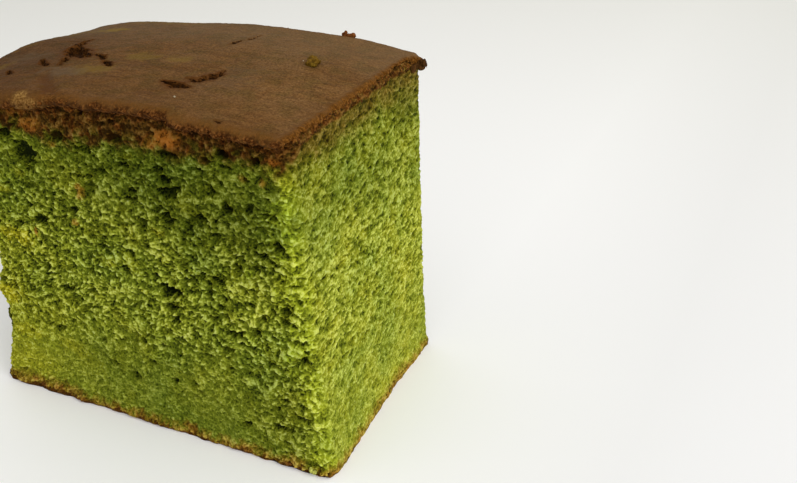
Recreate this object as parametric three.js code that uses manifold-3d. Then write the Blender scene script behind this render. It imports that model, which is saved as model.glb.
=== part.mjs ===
// A block cut from a green castella sponge loaf, as one solid. Millimetres, +Z up, origin at the
// middle of the base. The knife-cut end faces +X. The front (-Y), the back (+Y) and the far end
// (-X) are baked sides with the paper pulled off, so they have open crumb under a crust rim.
import * as THREE from "three";
import { mergeVertices } from "three/addons/utils/BufferGeometryUtils.js";
import Module from "manifold-3d";

const wasm = await Module();
wasm.setup();

// Driving dimensions of the block.
const LENGTH = 89.3; // far end to knife cut, at the top
const DEPTH = 53.6; // front to back
const HEIGHT = 74; // at the top corners of the knife-cut end

// The domed top, as shares of the height.
const EDGE_LEVEL = 0.984; // where the dome dies out at the far end
const LONG_DOME = 0.053; // rise of the dome along the length
const CROSS_DOME = 0.018; // extra rise across the depth, at the far end
const BACK_RISE = 0.006; // the back edge stands this much above the front edge
const DOME_SHIFT = 0.12; // the crown lies this far towards the knife cut, in half lengths
const DOME_REACH = 1.05; // half lengths from the crown to the edge level

// Low swells of the dome, as [x, y, reach along x, reach along y, rise].
const SWELLS = [
  [-44, 5, 10, 11, 0.95],
  [-37, 28, 10, 4.5, 0.9],
  [-50, 19, 5, 5, 0.6],
  [3, 27, 9, 6, 0.33],
  [31, 27, 11, 6, 0.7],
];

// The sides drew in as the loaf cooled, and the foot of the knife cut runs out a little.
const END_WAIST = 7.4; // at the far end
const SIDE_WAIST = 1.1; // at the front and the back
const FOOT_FLARE = 2.3; // at the front of the knife cut, gone by FLARE_DEPTH
const FLARE_DEPTH = 0.65; // as a share of the depth
const BAKED_CORNER = 2.8; // radius of the two upright corners at the far end
const NEAR_CORNER = 2; // radius of the crumbled front edge of the knife cut
const FOOT_CRUMBLE = 0.7; // the lowest part of the knife cut crumbles out by this much more
const CRUMBLE_BAND = [1, 7]; // heights between which that dies out

// The browned crust rolls over the baked sides and overhangs a crumbly undercut.
const RIM_RADIUS = 2.6;
const LIP = 0.9; // how far the rim stands out
const LIP_DROP = 2.2; // from the top down to the rim's broken edge
const UNDERCUT = 0.9;
const UNDERCUT_DROP = 9; // from the top down to where the undercut has died out
const BASE_LIP = 0.25; // the thin base crust stands out by this much
const BASE_CRUST = 1.8; // its thickness

// The far end swells at its front corner, most at one height.
const LUMP = 2.6;
const LUMP_LEVEL = 26.5;
const LUMP_REACH = 4;

// The foot of the far end spreads over the table, as [height, reach].
const END_SPREAD = [[0, 0.65], [6, 1.5], [18, 1.5], [34, 0]];

// Crumb relief on the baked sides and on the knife cut.
const BAKED_CRAG = 0.8;
const CUT_CRAG = 0.4;
const CRAG_SPACING = 3.6;
const CRUST_WAVE = 0.3;
const CRUST_WAVE_SPACING = 13;

// Grid of the outer skin: cells along X, Y and Z, closer together towards the edges.
const CELLS = [26, 16, 22];
const EDGE_CLOSENESS = [0.5, 0.5, 0.66];

const SEED = 41;

// Repeatable random numbers from 0 to 1.
function randomSource(seed) {
  let state = seed;
  return () => {
    state = (state + 0x6d2b79f5) | 0;
    let t = Math.imul(state ^ (state >>> 15), 1 | state);
    t = (t + Math.imul(t ^ (t >>> 7), 61 | t)) ^ t;
    return ((t ^ (t >>> 14)) >>> 0) / 4294967296;
  };
}

// A value from -1 to 1 for each point of a whole-number lattice.
function latticeValue(i, j, k) {
  let h = Math.imul(i, 374761393) + Math.imul(j, 668265263) + Math.imul(k, 2147483647);
  h = Math.imul(h ^ (h >>> 13), 1274126177) + SEED;
  h = Math.imul(h ^ (h >>> 15), 2246822519);
  return ((h ^ (h >>> 16)) >>> 0) / 2147483648 - 1;
}

// Smooth noise from -1 to 1 through the lattice, with lumps of about the given size.
function noise(p, size) {
  const cell = [p.x / size, p.y / size, p.z / size].map(Math.floor);
  const part = [p.x / size - cell[0], p.y / size - cell[1], p.z / size - cell[2]];
  const ease = part.map((t) => t * t * (3 - 2 * t));
  let sum = 0;
  for (let corner = 0; corner < 8; corner++) {
    const step = [corner & 1, (corner >> 1) & 1, corner >> 2];
    const weight = step.reduce((w, s, n) => w * (s ? ease[n] : 1 - ease[n]), 1);
    sum += weight * latticeValue(cell[0] + step[0], cell[1] + step[1], cell[2] + step[2]);
  }
  return sum;
}

const { clamp, lerp, smoothstep } = THREE.MathUtils;

// Height of the top at a place on the plan.
function topAt(x, y) {
  const along = x / (LENGTH / 2);
  const across = y / (DEPTH / 2);
  const long = LONG_DOME * (1 - ((along - DOME_SHIFT) / DOME_REACH) ** 2);
  const cross = (CROSS_DOME * (1 - across ** 2) * (1 - along)) / 2;
  const back = (BACK_RISE * (across + 1)) / 2;
  const wave = CRUST_WAVE * noise(new THREE.Vector3(x, y, 0), CRUST_WAVE_SPACING);
  return HEIGHT * (EDGE_LEVEL + long + cross + back) + wave + swell(x, y);
}

function swell(x, y) {
  return SWELLS.reduce((sum, [middleX, middleY, reachX, reachY, rise]) => {
    const away = ((x - middleX) / reachX) ** 2 + ((y - middleY) / reachY) ** 2;
    return sum + rise * Math.exp(-away);
  }, 0);
}

// How far a side is drawn in at a height: none at the foot and the rim, all of it below the middle.
function waist(z) {
  return Math.sin(Math.PI * clamp(z / HEIGHT, 0, 1) ** 0.8);
}

// How far the rim and the base crust stand out of a baked side, at a drop below the top.
function rimAt(drop, z) {
  const lip = LIP * (1 - smoothstep(drop, LIP_DROP, LIP_DROP + 1));
  const fade = 1 - smoothstep(drop, LIP_DROP + 1.5, UNDERCUT_DROP);
  const undercut = UNDERCUT * smoothstep(drop, LIP_DROP, LIP_DROP + 1) * fade;
  return lip - undercut + BASE_LIP * (1 - smoothstep(z, BASE_CRUST, 2 * BASE_CRUST));
}

// Where the two ends lie at a height.
function farEnd(z) {
  return -LENGTH / 2 + END_WAIST * waist(z) - spread(z);
}

// How far the foot of the far end spreads at a height.
function spread(z) {
  const next = END_SPREAD.findIndex(([height]) => z < height);
  if (next < 1) return END_SPREAD[next < 0 ? END_SPREAD.length - 1 : 0][1];
  const [low, reachLow] = END_SPREAD[next - 1];
  const [high, reachHigh] = END_SPREAD[next];
  return lerp(reachLow, reachHigh, (z - low) / (high - low));
}

// How far the far end swells beyond that: only towards the front.
function lump(y, z) {
  const front = smoothstep(-y, 0, DEPTH / 2);
  return LUMP * Math.exp(-(((z - LUMP_LEVEL) / LUMP_REACH) ** 2)) * front;
}

function knifeCut(y, z) {
  const share = (y + DEPTH / 2) / DEPTH;
  const front = clamp(1 - share / FLARE_DEPTH, 0, 1);
  const low = 1 - smoothstep(z / HEIGHT, 0.1, 0.5);
  const crumble = FOOT_CRUMBLE * clamp(1 - share, 0, 1) * (1 - smoothstep(z, ...CRUMBLE_BAND));
  return LENGTH / 2 + FOOT_FLARE * front * low + crumble;
}

// Turns the square edge between two walls into a round one. The two numbers are the depths of a
// point behind the walls, and the new depths come back.
function roundEdge(depthA, depthB, radius) {
  if (depthA >= radius || depthB >= radius) return [depthA, depthB];
  const a = radius - depthA;
  const b = radius - depthB;
  const scale = Math.max(a, b) / Math.hypot(a, b);
  return [radius - a * scale, radius - b * scale];
}

// Places one point of a unit box on the block.
function shape(unit) {
  const flat = new THREE.Vector3(
    (unit.x - 0.5) * LENGTH,
    (unit.y - 0.5) * DEPTH,
    unit.z * HEIGHT,
  );
  const top = topAt(flat.x, flat.y);
  let z = unit.z * top;
  const drop = top - z;
  const inset = SIDE_WAIST * waist(z) - rimAt(drop, z);
  const half = DEPTH / 2 - inset;
  const left = farEnd(z) - rimAt(drop, z) - lump(flat.y, z);
  const right = knifeCut(flat.y, z);
  let x = lerp(left, right, unit.x);
  let y = lerp(-half, half, unit.y);

  // Upright corners, then the top edges of the three baked sides.
  const side = y < 0 ? -1 : 1;
  let fromEnd = x - left;
  let fromCut = right - x;
  let fromSide = half - Math.abs(y);
  [fromEnd, fromSide] = roundEdge(fromEnd, fromSide, BAKED_CORNER);
  if (side < 0) [fromCut, fromSide] = roundEdge(fromCut, fromSide, NEAR_CORNER);
  let below = drop;
  [below, fromSide] = roundEdge(below, fromSide, RIM_RADIUS);
  [below, fromEnd] = roundEdge(below, fromEnd, RIM_RADIUS);
  z = top - below;
  x = unit.x < 0.5 ? left + fromEnd : right - fromCut;
  y = side * (half - fromSide);
  return crag(new THREE.Vector3(x, y, z), unit);
}

// Moves a point of the skin in or out by the crumb's roughness. The base stays flat.
function crag(p, unit) {
  const baked = BAKED_CRAG * noise(p, CRAG_SPACING);
  const cut = CUT_CRAG * noise(p, CRAG_SPACING);
  const moved = p.clone();
  if (unit.x === 0) moved.x += baked;
  if (unit.x === 1) moved.x += cut;
  if (unit.y === 0) moved.y -= baked;
  if (unit.y === 1) moved.y += baked;
  return moved;
}

// Place of grid line n of a count, from 0 to 1, with the lines closer together at both ends.
function gridLine(n, count, closeness) {
  const t = n / count;
  return t - (closeness * Math.sin(2 * Math.PI * t)) / (2 * Math.PI);
}

function solidOf(geometry) {
  geometry.deleteAttribute("normal");
  geometry.deleteAttribute("uv");
  const merged = mergeVertices(geometry);
  return new wasm.Manifold(
    new wasm.Mesh({
      numProp: 3,
      vertProperties: merged.attributes.position.array,
      triVerts: new Uint32Array(merged.index.array),
    }),
  );
}

function makeSkin() {
  const geometry = new THREE.BoxGeometry(1, 1, 1, ...CELLS);
  const position = geometry.attributes.position;
  for (let n = 0; n < position.count; n++) {
    const unit = new THREE.Vector3().fromBufferAttribute(position, n);
    ["x", "y", "z"].forEach((axis, a) => {
      const line = Math.round((unit[axis] + 0.5) * CELLS[a]);
      unit[axis] = gridLine(line, CELLS[a], EDGE_CLOSENESS[a]);
    });
    const placed = shape(unit);
    position.setXYZ(n, placed.x, placed.y, placed.z);
  }
  return solidOf(geometry);
}

// A hole in the crumb: a low ball, drawn out sideways as bubbles in a risen sponge are.
const PORE_STRETCH = 1.35;
const PORE_HEIGHT = 0.8;

function pore(centre, radius, turn) {
  const geometry = new THREE.IcosahedronGeometry(radius, 0);
  geometry.rotateX(turn);
  geometry.rotateY(turn * 2);
  geometry.scale(PORE_STRETCH, PORE_STRETCH, PORE_HEIGHT);
  geometry.translate(centre.x, centre.y, centre.z);
  return solidOf(geometry);
}

// Places on the four upright sides: share of the way along, height, and depth behind the side.
function onFront(share, z, behind) {
  return new THREE.Vector3(alongX(share, z), behind - sideAt(z), z);
}

function onBack(share, z, behind) {
  return new THREE.Vector3(alongX(share, z), sideAt(z) - behind, z);
}

function onFarEnd(share, z, behind) {
  return new THREE.Vector3(farEnd(z) + behind, alongY(share), z);
}

function onKnifeCut(share, z, behind) {
  return new THREE.Vector3(knifeCut(alongY(share), z) - behind, alongY(share), z);
}

function sideAt(z) {
  return DEPTH / 2 - SIDE_WAIST * waist(z);
}

function alongX(share, z) {
  return lerp(farEnd(z), knifeCut(-DEPTH / 2, z), share);
}

function alongY(share) {
  return (share - 0.5) * DEPTH;
}

// Scattered holes, one to a cell of each side with a random shift, few of them large.
const PORE_RADIUS = [1, 2.3];
const PORE_BAND = [0.07, 0.88]; // shares of the height that hold them
const PORE_FIELDS = [
  { place: onFront, columns: 6, rows: 5 },
  { place: onBack, columns: 5, rows: 4 },
  { place: onFarEnd, columns: 3, rows: 4 },
  { place: onKnifeCut, columns: 3, rows: 4 },
];

function scatteredPores() {
  const random = randomSource(SEED);
  const pores = [];
  for (const { place, columns, rows } of PORE_FIELDS)
    for (let c = 0; c < columns; c++)
      for (let r = 0; r < rows; r++) {
        const share = (c + 0.2 + 0.6 * random()) / columns;
        const level = (r + 0.2 + 0.6 * random()) / rows;
        const z = HEIGHT * lerp(...PORE_BAND, level);
        const radius = lerp(...PORE_RADIUS, random() ** 2.5);
        pores.push(pore(place(share, z, 0.15 * radius), radius, random() * Math.PI));
      }
  return pores;
}

// The holes that stand out on the front, as [share of the length, height, radius].
const LARGE_PORES = [
  [0.27, 63.7, 2.6],
  [0.62, 38.4, 2],
  [0.82, 59.3, 1.5],
  [0.814, 31.4, 1.6],
  [0.945, 38.4, 1.5],
];

function largePores() {
  return LARGE_PORES.map(([share, z, radius]) => {
    const turn = share * Math.PI;
    return pore(onFront(share, z, 0.2 * radius), radius, turn);
  });
}

// Tears in the crust: chains of narrow troughs, from a depth and points [x, y, half width].
const TEARS = [
  [
    1.5,
    [
      [-28.4, 7, 0.5], [-28.7, 4.2, 1], [-27.2, 1, 1.3], [-25, -1.8, 1.9], [-22, -3.8, 2.1],
      [-18.8, -5.6, 1.5], [-16.9, -6.2, 0.5],
    ],
  ],
  [0.8, [[-16.6, -4.2, 0.4], [-14, -5.4, 0.9], [-12, -7.2, 0.5]]],
  [0.8, [[-11.2, -8, 0.4], [-9, -9.2, 0.9], [-7, -10.8, 0.4]]],
  [0.8, [[-22.8, -7.4, 0.5], [-21.5, -8.7, 0.8], [-20.3, -9.9, 0.4]]],
  [0.8, [[-27.8, -8.9, 0.5], [-25.5, -10.8, 0.9], [-23, -12.5, 0.5]]],
  [1.2, [[9, -14, 0.5], [10.8, -14.6, 1], [13.2, -14.9, 1.3], [15.9, -15.1, 0.6]]],
  [1, [[13.8, -10.6, 0.5], [15.2, -10.8, 1.3], [16.6, -9.3, 1.4], [17.6, -7.3, 0.8], [16.9, -4.6, 0.4]]],
];

function trough([fromX, fromY, fromWidth], [toX, toY, toWidth], depth) {
  const from = new THREE.Vector2(fromX, fromY);
  const run = new THREE.Vector2(toX, toY).sub(from);
  const geometry = new THREE.OctahedronGeometry(1, 0);
  geometry.scale(run.length() * 0.75, fromWidth + toWidth, depth);
  geometry.rotateZ(run.angle());
  const middle = from.addScaledVector(run, 0.5);
  geometry.translate(middle.x, middle.y, topAt(middle.x, middle.y));
  return solidOf(geometry);
}

function tears() {
  return TEARS.flatMap(([depth, route]) =>
    route.slice(1).map((to, n) => trough(route[n], to, depth)),
  );
}

function makeCastella() {
  let block = makeSkin();
  for (const hole of [...scatteredPores(), ...largePores(), ...tears()]) block = block.subtract(hole);
  const mesh = block.getMesh();
  const geometry = new THREE.BufferGeometry();
  geometry.setAttribute("position", new THREE.BufferAttribute(mesh.vertProperties, mesh.numProp));
  geometry.setIndex(new THREE.BufferAttribute(mesh.triVerts, 1));
  geometry.computeBoundingBox();
  const box = geometry.boundingBox;
  geometry.translate(-(box.min.x + box.max.x) / 2, -(box.min.y + box.max.y) / 2, -box.min.z);
  geometry.computeVertexNormals();
  const crumb = new THREE.MeshStandardMaterial({ color: 0x6a7527, roughness: 0.9, metalness: 0 });
  const castella = new THREE.Mesh(geometry, crumb);
  castella.name = "castella";
  return castella;
}

const group = new THREE.Group();
group.add(makeCastella());

export default group;
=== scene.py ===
"""A block cut from a green castella sponge loaf: open crumb walls, a browned crust and loose crumbs."""

from types import SimpleNamespace

import bmesh
import bpy
import numpy as np
from bpy.props import FloatProperty, FloatVectorProperty, IntProperty, PointerProperty
from bpy.types import Operator, Panel, PropertyGroup
from mathutils import Matrix, Vector


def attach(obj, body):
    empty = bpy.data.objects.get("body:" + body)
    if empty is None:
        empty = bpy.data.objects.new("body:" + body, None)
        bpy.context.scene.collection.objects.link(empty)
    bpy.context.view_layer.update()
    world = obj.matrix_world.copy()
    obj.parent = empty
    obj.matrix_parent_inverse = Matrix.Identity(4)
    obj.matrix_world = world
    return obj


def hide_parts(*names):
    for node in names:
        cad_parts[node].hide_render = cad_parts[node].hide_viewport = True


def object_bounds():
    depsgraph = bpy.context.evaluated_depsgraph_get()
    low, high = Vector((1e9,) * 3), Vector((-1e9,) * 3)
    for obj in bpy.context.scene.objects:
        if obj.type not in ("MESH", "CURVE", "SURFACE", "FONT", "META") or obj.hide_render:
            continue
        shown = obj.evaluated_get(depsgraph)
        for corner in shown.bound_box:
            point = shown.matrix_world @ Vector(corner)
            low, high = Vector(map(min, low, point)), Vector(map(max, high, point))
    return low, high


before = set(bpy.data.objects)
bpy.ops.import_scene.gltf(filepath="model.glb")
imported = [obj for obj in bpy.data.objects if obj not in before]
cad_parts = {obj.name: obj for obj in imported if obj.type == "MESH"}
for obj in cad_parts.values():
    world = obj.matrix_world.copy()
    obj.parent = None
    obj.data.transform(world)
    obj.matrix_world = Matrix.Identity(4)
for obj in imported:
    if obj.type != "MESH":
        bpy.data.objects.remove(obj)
CAD_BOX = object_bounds()

bl_info = {
    "name": "Castella Block",
    "version": (1, 0, 0),
    "blender": (4, 5, 0),
    "location": "View3D > Sidebar > Castella",
    "description": "Builds a cut block of green castella sponge cake with its crust and crumbs",
    "category": "Add Mesh",
}

MM = 0.001
NODE = "castella"
BODY = "root"

VIEW = (797, 483)  # width and height of the camera's view, in pixels
SENSOR_WIDTH, LENS = 36, 41.70  # both in millimetres
FOCAL = LENS / SENSOR_WIDTH * VIEW[0]
CAMERA_FROM_CORNER = np.array((83.65, -121.35, 130.53)) * MM  # from the front edge of the knife cut
HEADING, TILT, ROLL = np.radians((27.384, 27.655, 2.708))  # from +Y towards -X, down, and clockwise


def camera_axes():
    """Where right, down and ahead point for the camera, as the columns of a matrix."""
    ahead = np.array((-np.sin(HEADING) * np.cos(TILT), np.cos(HEADING) * np.cos(TILT), -np.sin(TILT)))
    level = np.array((np.cos(HEADING), np.sin(HEADING), 0.0))
    right = np.cos(ROLL) * level + np.sin(ROLL) * np.cross(ahead, level)
    return np.stack([right, np.cross(ahead, right), ahead], 1)


CAMERA_AXES = camera_axes()


# ---------------------------------------------------------------- settings


def length_setting(name, description, default):
    return FloatProperty(
        name=name, description=description, default=default, min=0.0, unit="LENGTH", precision=5
    )


def colour_setting(name, description, default):
    return FloatVectorProperty(
        name=name, description=description, default=default, size=3, min=0.0, max=1.0, subtype="COLOR"
    )


def strength_setting(name, description, default, unit="NONE"):
    return FloatProperty(name=name, description=description, default=default, unit=unit)


class BlockShape(PropertyGroup):
    """Driving sizes of the block, before the crumb is cut into it."""

    length: length_setting("Length", "Far end to knife cut, at the top", 89.3 * MM)
    depth: length_setting("Depth", "Front to back", 53.6 * MM)
    height: length_setting("Height", "At the corners of the knife cut", 74 * MM)
    end_waist: length_setting("End waist", "How far the far end is drawn in", 7.4 * MM)
    side_waist: length_setting("Side waist", "How far front and back are drawn in", 1.1 * MM)
    foot_flare: length_setting("Foot flare", "How far the foot of the cut runs out", 2.3 * MM)
    foot_crumble: length_setting("Foot crumble", "How much further its lowest part crumbles out", 0.7 * MM)
    corner: length_setting("Baked corner", "Radius of the far upright corners", 2.8 * MM)
    near_corner: length_setting("Near cut corner", "Radius of the crumbled front edge of the cut", 3.0 * MM)
    cut_corner: length_setting("Back cut corner", "Radius of the back edge of the cut", 0.7 * MM)
    rim_radius: length_setting("Rim radius", "Roll of the crust over the sides", 2.6 * MM)
    lip: length_setting("Lip", "How far the crust rim stands out", 0.9 * MM)
    undercut: length_setting("Undercut", "How far the crumb falls back under the rim", 0.9 * MM)
    seed: IntProperty(name="Seed", description="Start of every random draw", default=41)


class CrumbLook(PropertyGroup):
    """Size of the bubbles and colours of the crumb."""

    granule: length_setting("Granule", "Usual size of a grain of the torn crumb", 0.5 * MM)
    baked_cell: length_setting("Baked cell", "Usual height of a bubble on the baked sides", 0.7 * MM)
    cut_cell: length_setting("Cut cell", "Usual height of a bubble on the knife cut", 0.7 * MM)
    # From ridge to pit: the crumb's own paler walls and deeper green inside, with painted highlight on the
    # ridges and painted shade in the pits.
    ridge: colour_setting("Ridge", "Thin walls that catch the light", (0.54, 0.58, 0.105))
    wall: colour_setting("Wall", "Walls of the bubbles", (0.335, 0.37, 0.036))
    body: colour_setting("Body", "Sides of the bubbles", (0.168, 0.20, 0.011))
    pit: colour_setting("Pit", "Inside of the bubbles", (0.026, 0.036, 0.002))
    sunny: colour_setting("Sunny", "Yellower crumb", (0.42, 0.385, 0.012))
    browned: colour_setting("Browned", "Crumb baked brown under the crust", (0.092, 0.043, 0.006))
    toasted: colour_setting("Toasted", "Orange-brown patches of baked crumb", (0.28, 0.095, 0.010))


class CrustLook(PropertyGroup):
    """Colours of the baked crust."""

    skin: colour_setting("Skin", "Smooth top of the crust", (0.255, 0.126, 0.038))
    pale: colour_setting("Pale", "Paler, greyer blotches of the crust", (0.275, 0.162, 0.068))
    dark: colour_setting("Dark", "Darker streaks and the lips of tears", (0.10, 0.040, 0.009))
    broken: colour_setting("Broken edge", "Crumbly edge where the skin broke", (0.092, 0.030, 0.005))


class StageLook(PropertyGroup):
    """Floor and light."""

    floor: colour_setting("Floor", "Pale seamless floor", (0.98, 0.98, 0.98))
    key_power: strength_setting("Key light", "Power of the key light", 7.5, "POWER")
    fill_power: strength_setting("Fill light", "Power of the fill light", 0.3, "POWER")
    sky: strength_setting("Sky", "Strength of the even surrounding light", 0.72)


# ---------------------------------------------------------------- noise and easing


def smoothstep(value, low, high):
    t = np.clip((value - low) / (high - low), 0.0, 1.0)
    return t * t * (3.0 - 2.0 * t)


def lattice_value(i, j, seed):
    """A repeatable value from -1 to 1 for each whole-number place."""
    with np.errstate(over="ignore"):  # only the low 32 bits count
        h = (i * 374761393 + j * 668265263 + seed * 974634777) & 0xFFFFFFFF
        h = ((h ^ (h >> 13)) * 1274126177) & 0xFFFFFFFF
        h = ((h ^ (h >> 15)) * 2246822519) & 0xFFFFFFFF
    return (h ^ (h >> 16)) / 2147483647.5 - 1.0


def noise(a, b, size, seed):
    """Smooth noise from -1 to 1 over two coordinates, with lumps of about the given size."""
    fa, fb = np.broadcast_arrays(a / size, b / size)
    i, j = np.floor(fa).astype(np.int64), np.floor(fb).astype(np.int64)
    ta, tb = fa - i, fb - j
    ta, tb = ta * ta * (3 - 2 * ta), tb * tb * (3 - 2 * tb)
    low = lattice_value(i, j, seed) * (1 - ta) + lattice_value(i + 1, j, seed) * ta
    high = lattice_value(i, j + 1, seed) * (1 - ta) + lattice_value(i + 1, j + 1, seed) * ta
    return low * (1 - tb) + high * tb


def fractal(a, b, size, seed, octaves=3, gain=0.55):
    """Noise with finer and weaker noise added to it."""
    total, weight = 0.0, 1.0
    for octave in range(octaves):
        total = total + weight * noise(a, b, size / 2**octave, seed + 17 * octave)
        weight *= gain
    return total


# ---------------------------------------------------------------- form of the block


SWELLS = (
    # place in plan, reach both ways and rise, in millimetres
    (-44, 5, 10, 11, 0.95), (-37, 28, 10, 4.5, 0.9), (-50, 19, 5, 5, 0.6),
    (3, 27, 9, 6, 0.33), (31, 27, 11, 6, 0.7),
)


def top_at(shape, x, y):
    """Height of the domed top at a place on the plan."""
    along = x / (shape.length / 2)
    across = y / (shape.depth / 2)
    long_dome = 0.053 * (1 - ((along - 0.12) / 1.05) ** 2)
    cross_dome = 0.018 * (1 - across**2) * (1 - along) / 2
    back_rise = 0.006 * (across + 1) / 2
    wave = 0.3 * MM * noise(x, y, 13 * MM, shape.seed)
    swell = 0.0
    for place_x, place_y, reach_x, reach_y, rise in SWELLS:
        away = ((x / MM - place_x) / reach_x) ** 2 + ((y / MM - place_y) / reach_y) ** 2
        swell = swell + rise * MM * np.exp(-away)
    return shape.height * (0.984 + long_dome + cross_dome + back_rise) + wave + swell


def waist(shape, z):
    """Share by which the sides are drawn in at a height."""
    return np.sin(np.pi * np.clip(z / shape.height, 0, 1) ** 0.8)


def roll_in(shape, drop):
    """How far the rounded rim lies inside its widest outline, at a drop below the top."""
    r = shape.rim_radius
    return r - np.sqrt(np.maximum(r * r - np.maximum(r - drop, 0) ** 2, 0))


SKIN_EDGE = (
    # place along the front, drop of the skin's broken edge below the top, both in millimetres
    (-44, 2.3), (-24, 3.2), (-14, 3.2), (-9, 2.1), (-4, 1.4), (6, 1.5), (15, 1.1), (19.6, 0.9),
    (20.6, 2.4), (27, 2.0), (33.6, 1.6), (39, 1.0), (44, 0.8),
)
HIDDEN_SKIN_EDGE = 1.8 * MM  # the same drop on the other baked sides


def front_share(shape, y):
    """1 on the front side, falling to 0 behind it."""
    return smoothstep(-y, shape.depth / 2 - 6 * MM, shape.depth / 2)


def crust_reach(shape, x, y):
    """Length of crust from the start of its roll to its broken edge, on the baked sides."""
    places, drops = zip(*SKIN_EDGE)
    front = front_share(shape, y)
    drop = np.interp(x / MM, places, drops) * MM * front + HIDDEN_SKIN_EDGE * (1 - front)
    ragged = 0.55 * noise(x, y, 5 * MM, 71) + 0.35 * noise(x, y, 1.7 * MM, 72)
    ragged = ragged + 0.3 * noise(x, y, 0.6 * MM, 73)
    return shape.rim_radius * np.arccos(np.clip(1 - drop / shape.rim_radius, -1, 1)) + ragged * MM


def reach_to_drop(shape, reach):
    """Drop below the top of a point that far along the rolled rim."""
    r = shape.rim_radius
    return r * (1 - np.cos(np.minimum(reach / r, np.pi / 2))) + np.maximum(reach - r * np.pi / 2, 0)


CORNER_LUMP = (2.6, 26.5)  # how far the far front edge bulges, and how high up, in millimetres
END_SPREAD = ((0, 0.65), (6, 1.5), (18, 1.5), (34, 0))  # heights, and how far the far end spreads there


def wall_place(shape, x0, y0, z, drop):
    """Place in plan of a wall point from its place on the plain outline, at a height."""
    # Both sides: the crust's lip and the undercut below it, and the small lip of the base.
    edge = reach_to_drop(shape, crust_reach(shape, x0, y0))
    below_edge = smoothstep(drop, edge - 0.3 * MM, edge + 0.7 * MM)
    lip = shape.lip * (1 - below_edge)
    undercut = shape.undercut * below_edge * (1 - smoothstep(drop, edge + 1 * MM, 9 * MM))
    back_corner = smoothstep(y0, 0, shape.depth / 2) * smoothstep(x0, 0.4 * shape.length, 0.5 * shape.length)
    undercut = undercut * (1 - back_corner)
    ragged_foot = 0.22 + 0.18 * noise(x0, y0, 2.2 * MM, 75) + 0.16 * noise(x0, y0, 0.9 * MM, 76)
    base_lip = ragged_foot * MM * (1 - smoothstep(z, 1.2 * MM, 3.0 * MM))
    foot = 0.5 * MM * (1 - smoothstep(z, 0.0, 0.8 * MM))
    out = lip - undercut + base_lip - foot - roll_in(shape, drop)
    draw = waist(shape, z)
    half = shape.depth / 2 - shape.side_waist * draw + out

    # Far end: its waist, the bulge of its front edge and its spread foot.
    low, high = CORNER_LUMP
    lump = low * MM * np.exp(-(((z - high * MM) / (4 * MM)) ** 2)) * smoothstep(-y0, 0, shape.depth / 2)
    heights, reaches = zip(*END_SPREAD)
    spread = np.interp(z / MM, heights, reaches) * MM
    left = -shape.length / 2 + shape.end_waist * draw - out - lump - spread

    # Knife cut: its foot runs out towards the front.
    share = (y0 + shape.depth / 2) / shape.depth
    flare = np.clip(1 - share / 0.65, 0, 1) * (1 - smoothstep(z / shape.height, 0.1, 0.5))
    crumbled = shape.foot_crumble * (1 - share) * (1 - smoothstep(z, 1 * MM, 7 * MM))
    right = shape.length / 2 + shape.foot_flare * flare + crumbled + base_lip
    t = x0 / shape.length + 0.5
    return left + (right - left) * t, y0 * half / (shape.depth / 2)


ARC_POINTS = 25  # points of the outline at each of its rounded corners


def outline(shape):
    """Plain outline of the block seen from above, as a dense path, and where each side starts."""
    half_x, half_y = shape.length / 2, shape.depth / 2
    baked, near, cut = shape.corner, shape.near_corner, shape.cut_corner
    corners = (
        (-half_x + baked, -half_y + baked, baked, 225, 270),
        (half_x - near, -half_y + near, near, 270, 360),
        (half_x - cut, half_y - cut, cut, 0, 90),
        (-half_x + baked, half_y - baked, baked, 90, 180),
        (-half_x + baked, -half_y + baked, baked, 180, 225),
    )
    points = []
    for cx, cy, radius, start, stop in corners:
        angle = np.radians(np.linspace(start, stop, ARC_POINTS))
        points.append(np.stack([cx + radius * np.cos(angle), cy + radius * np.sin(angle)], 1))
    path = np.concatenate(points)
    run = np.concatenate([[0], np.cumsum(np.hypot(*np.diff(path, axis=0).T))])
    middle = [run[ARC_POINTS // 2 + ARC_POINTS * n] for n in (1, 2, 3)]
    sides = {
        "front": (0.0, middle[0]),
        "cut": (middle[0], middle[1]),
        "back": (middle[1], middle[2]),
        "end": (middle[2], run[-1]),
    }
    return run, path, sides


def facing(shape, x0, y0):
    """Outward direction in plan, turning slowly round the corners so that pits don't cross."""
    spread = 4 * MM
    wx = 1 - smoothstep(shape.length / 2 - np.abs(x0), 0, spread)
    wy = 1 - smoothstep(shape.depth / 2 - np.abs(y0), 0, spread)
    nx, ny = np.sign(x0) * wx, np.sign(y0) * wy
    size = np.maximum(np.hypot(nx, ny), 1e-9)
    return nx / size, ny / size


# ---------------------------------------------------------------- crumb


def cells(a, b, spacing, steep, wobble, deep_share, deepest, seed):
    """Height of a wall of torn foam: each cell is a small cup, and thin ridges part the cells."""
    i, j = np.floor(a / spacing).astype(np.int64), np.floor(b / spacing).astype(np.int64)
    height = np.full(np.broadcast(a, b).shape, np.inf)
    for di in range(-2, 3):
        for dj in range(-2, 3):
            ci, cj = i + di, j + dj
            ca = (ci + 0.5 + 0.47 * lattice_value(ci, cj, seed)) * spacing
            cb = (cj + 0.5 + 0.47 * lattice_value(ci, cj, seed + 1)) * spacing
            floor = wobble * lattice_value(ci, cj, seed + 2)
            chance = 0.5 + 0.5 * lattice_value(ci, cj, seed + 3)
            floor = floor - deepest * np.maximum(0, 1 - chance / deep_share)
            np.minimum(height, steep * ((a - ca) ** 2 + (b - cb) ** 2) + floor, out=height)
    return height


def bubbles(rng, width, height, reach, radius, count):
    """Random bubbles behind a wall: place along it, height, depth behind it and three radii."""
    size = radius * np.exp(rng.normal(0, 0.3, count))
    squat = rng.uniform(0.45, 0.9, count)
    return np.stack(
        [
            rng.uniform(0, width, count),
            rng.uniform(0, height, count),
            rng.uniform(-0.35 * radius, reach, count),
            size * 1.45,
            size * squat,
            size,
        ],
        1,
    )


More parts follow.
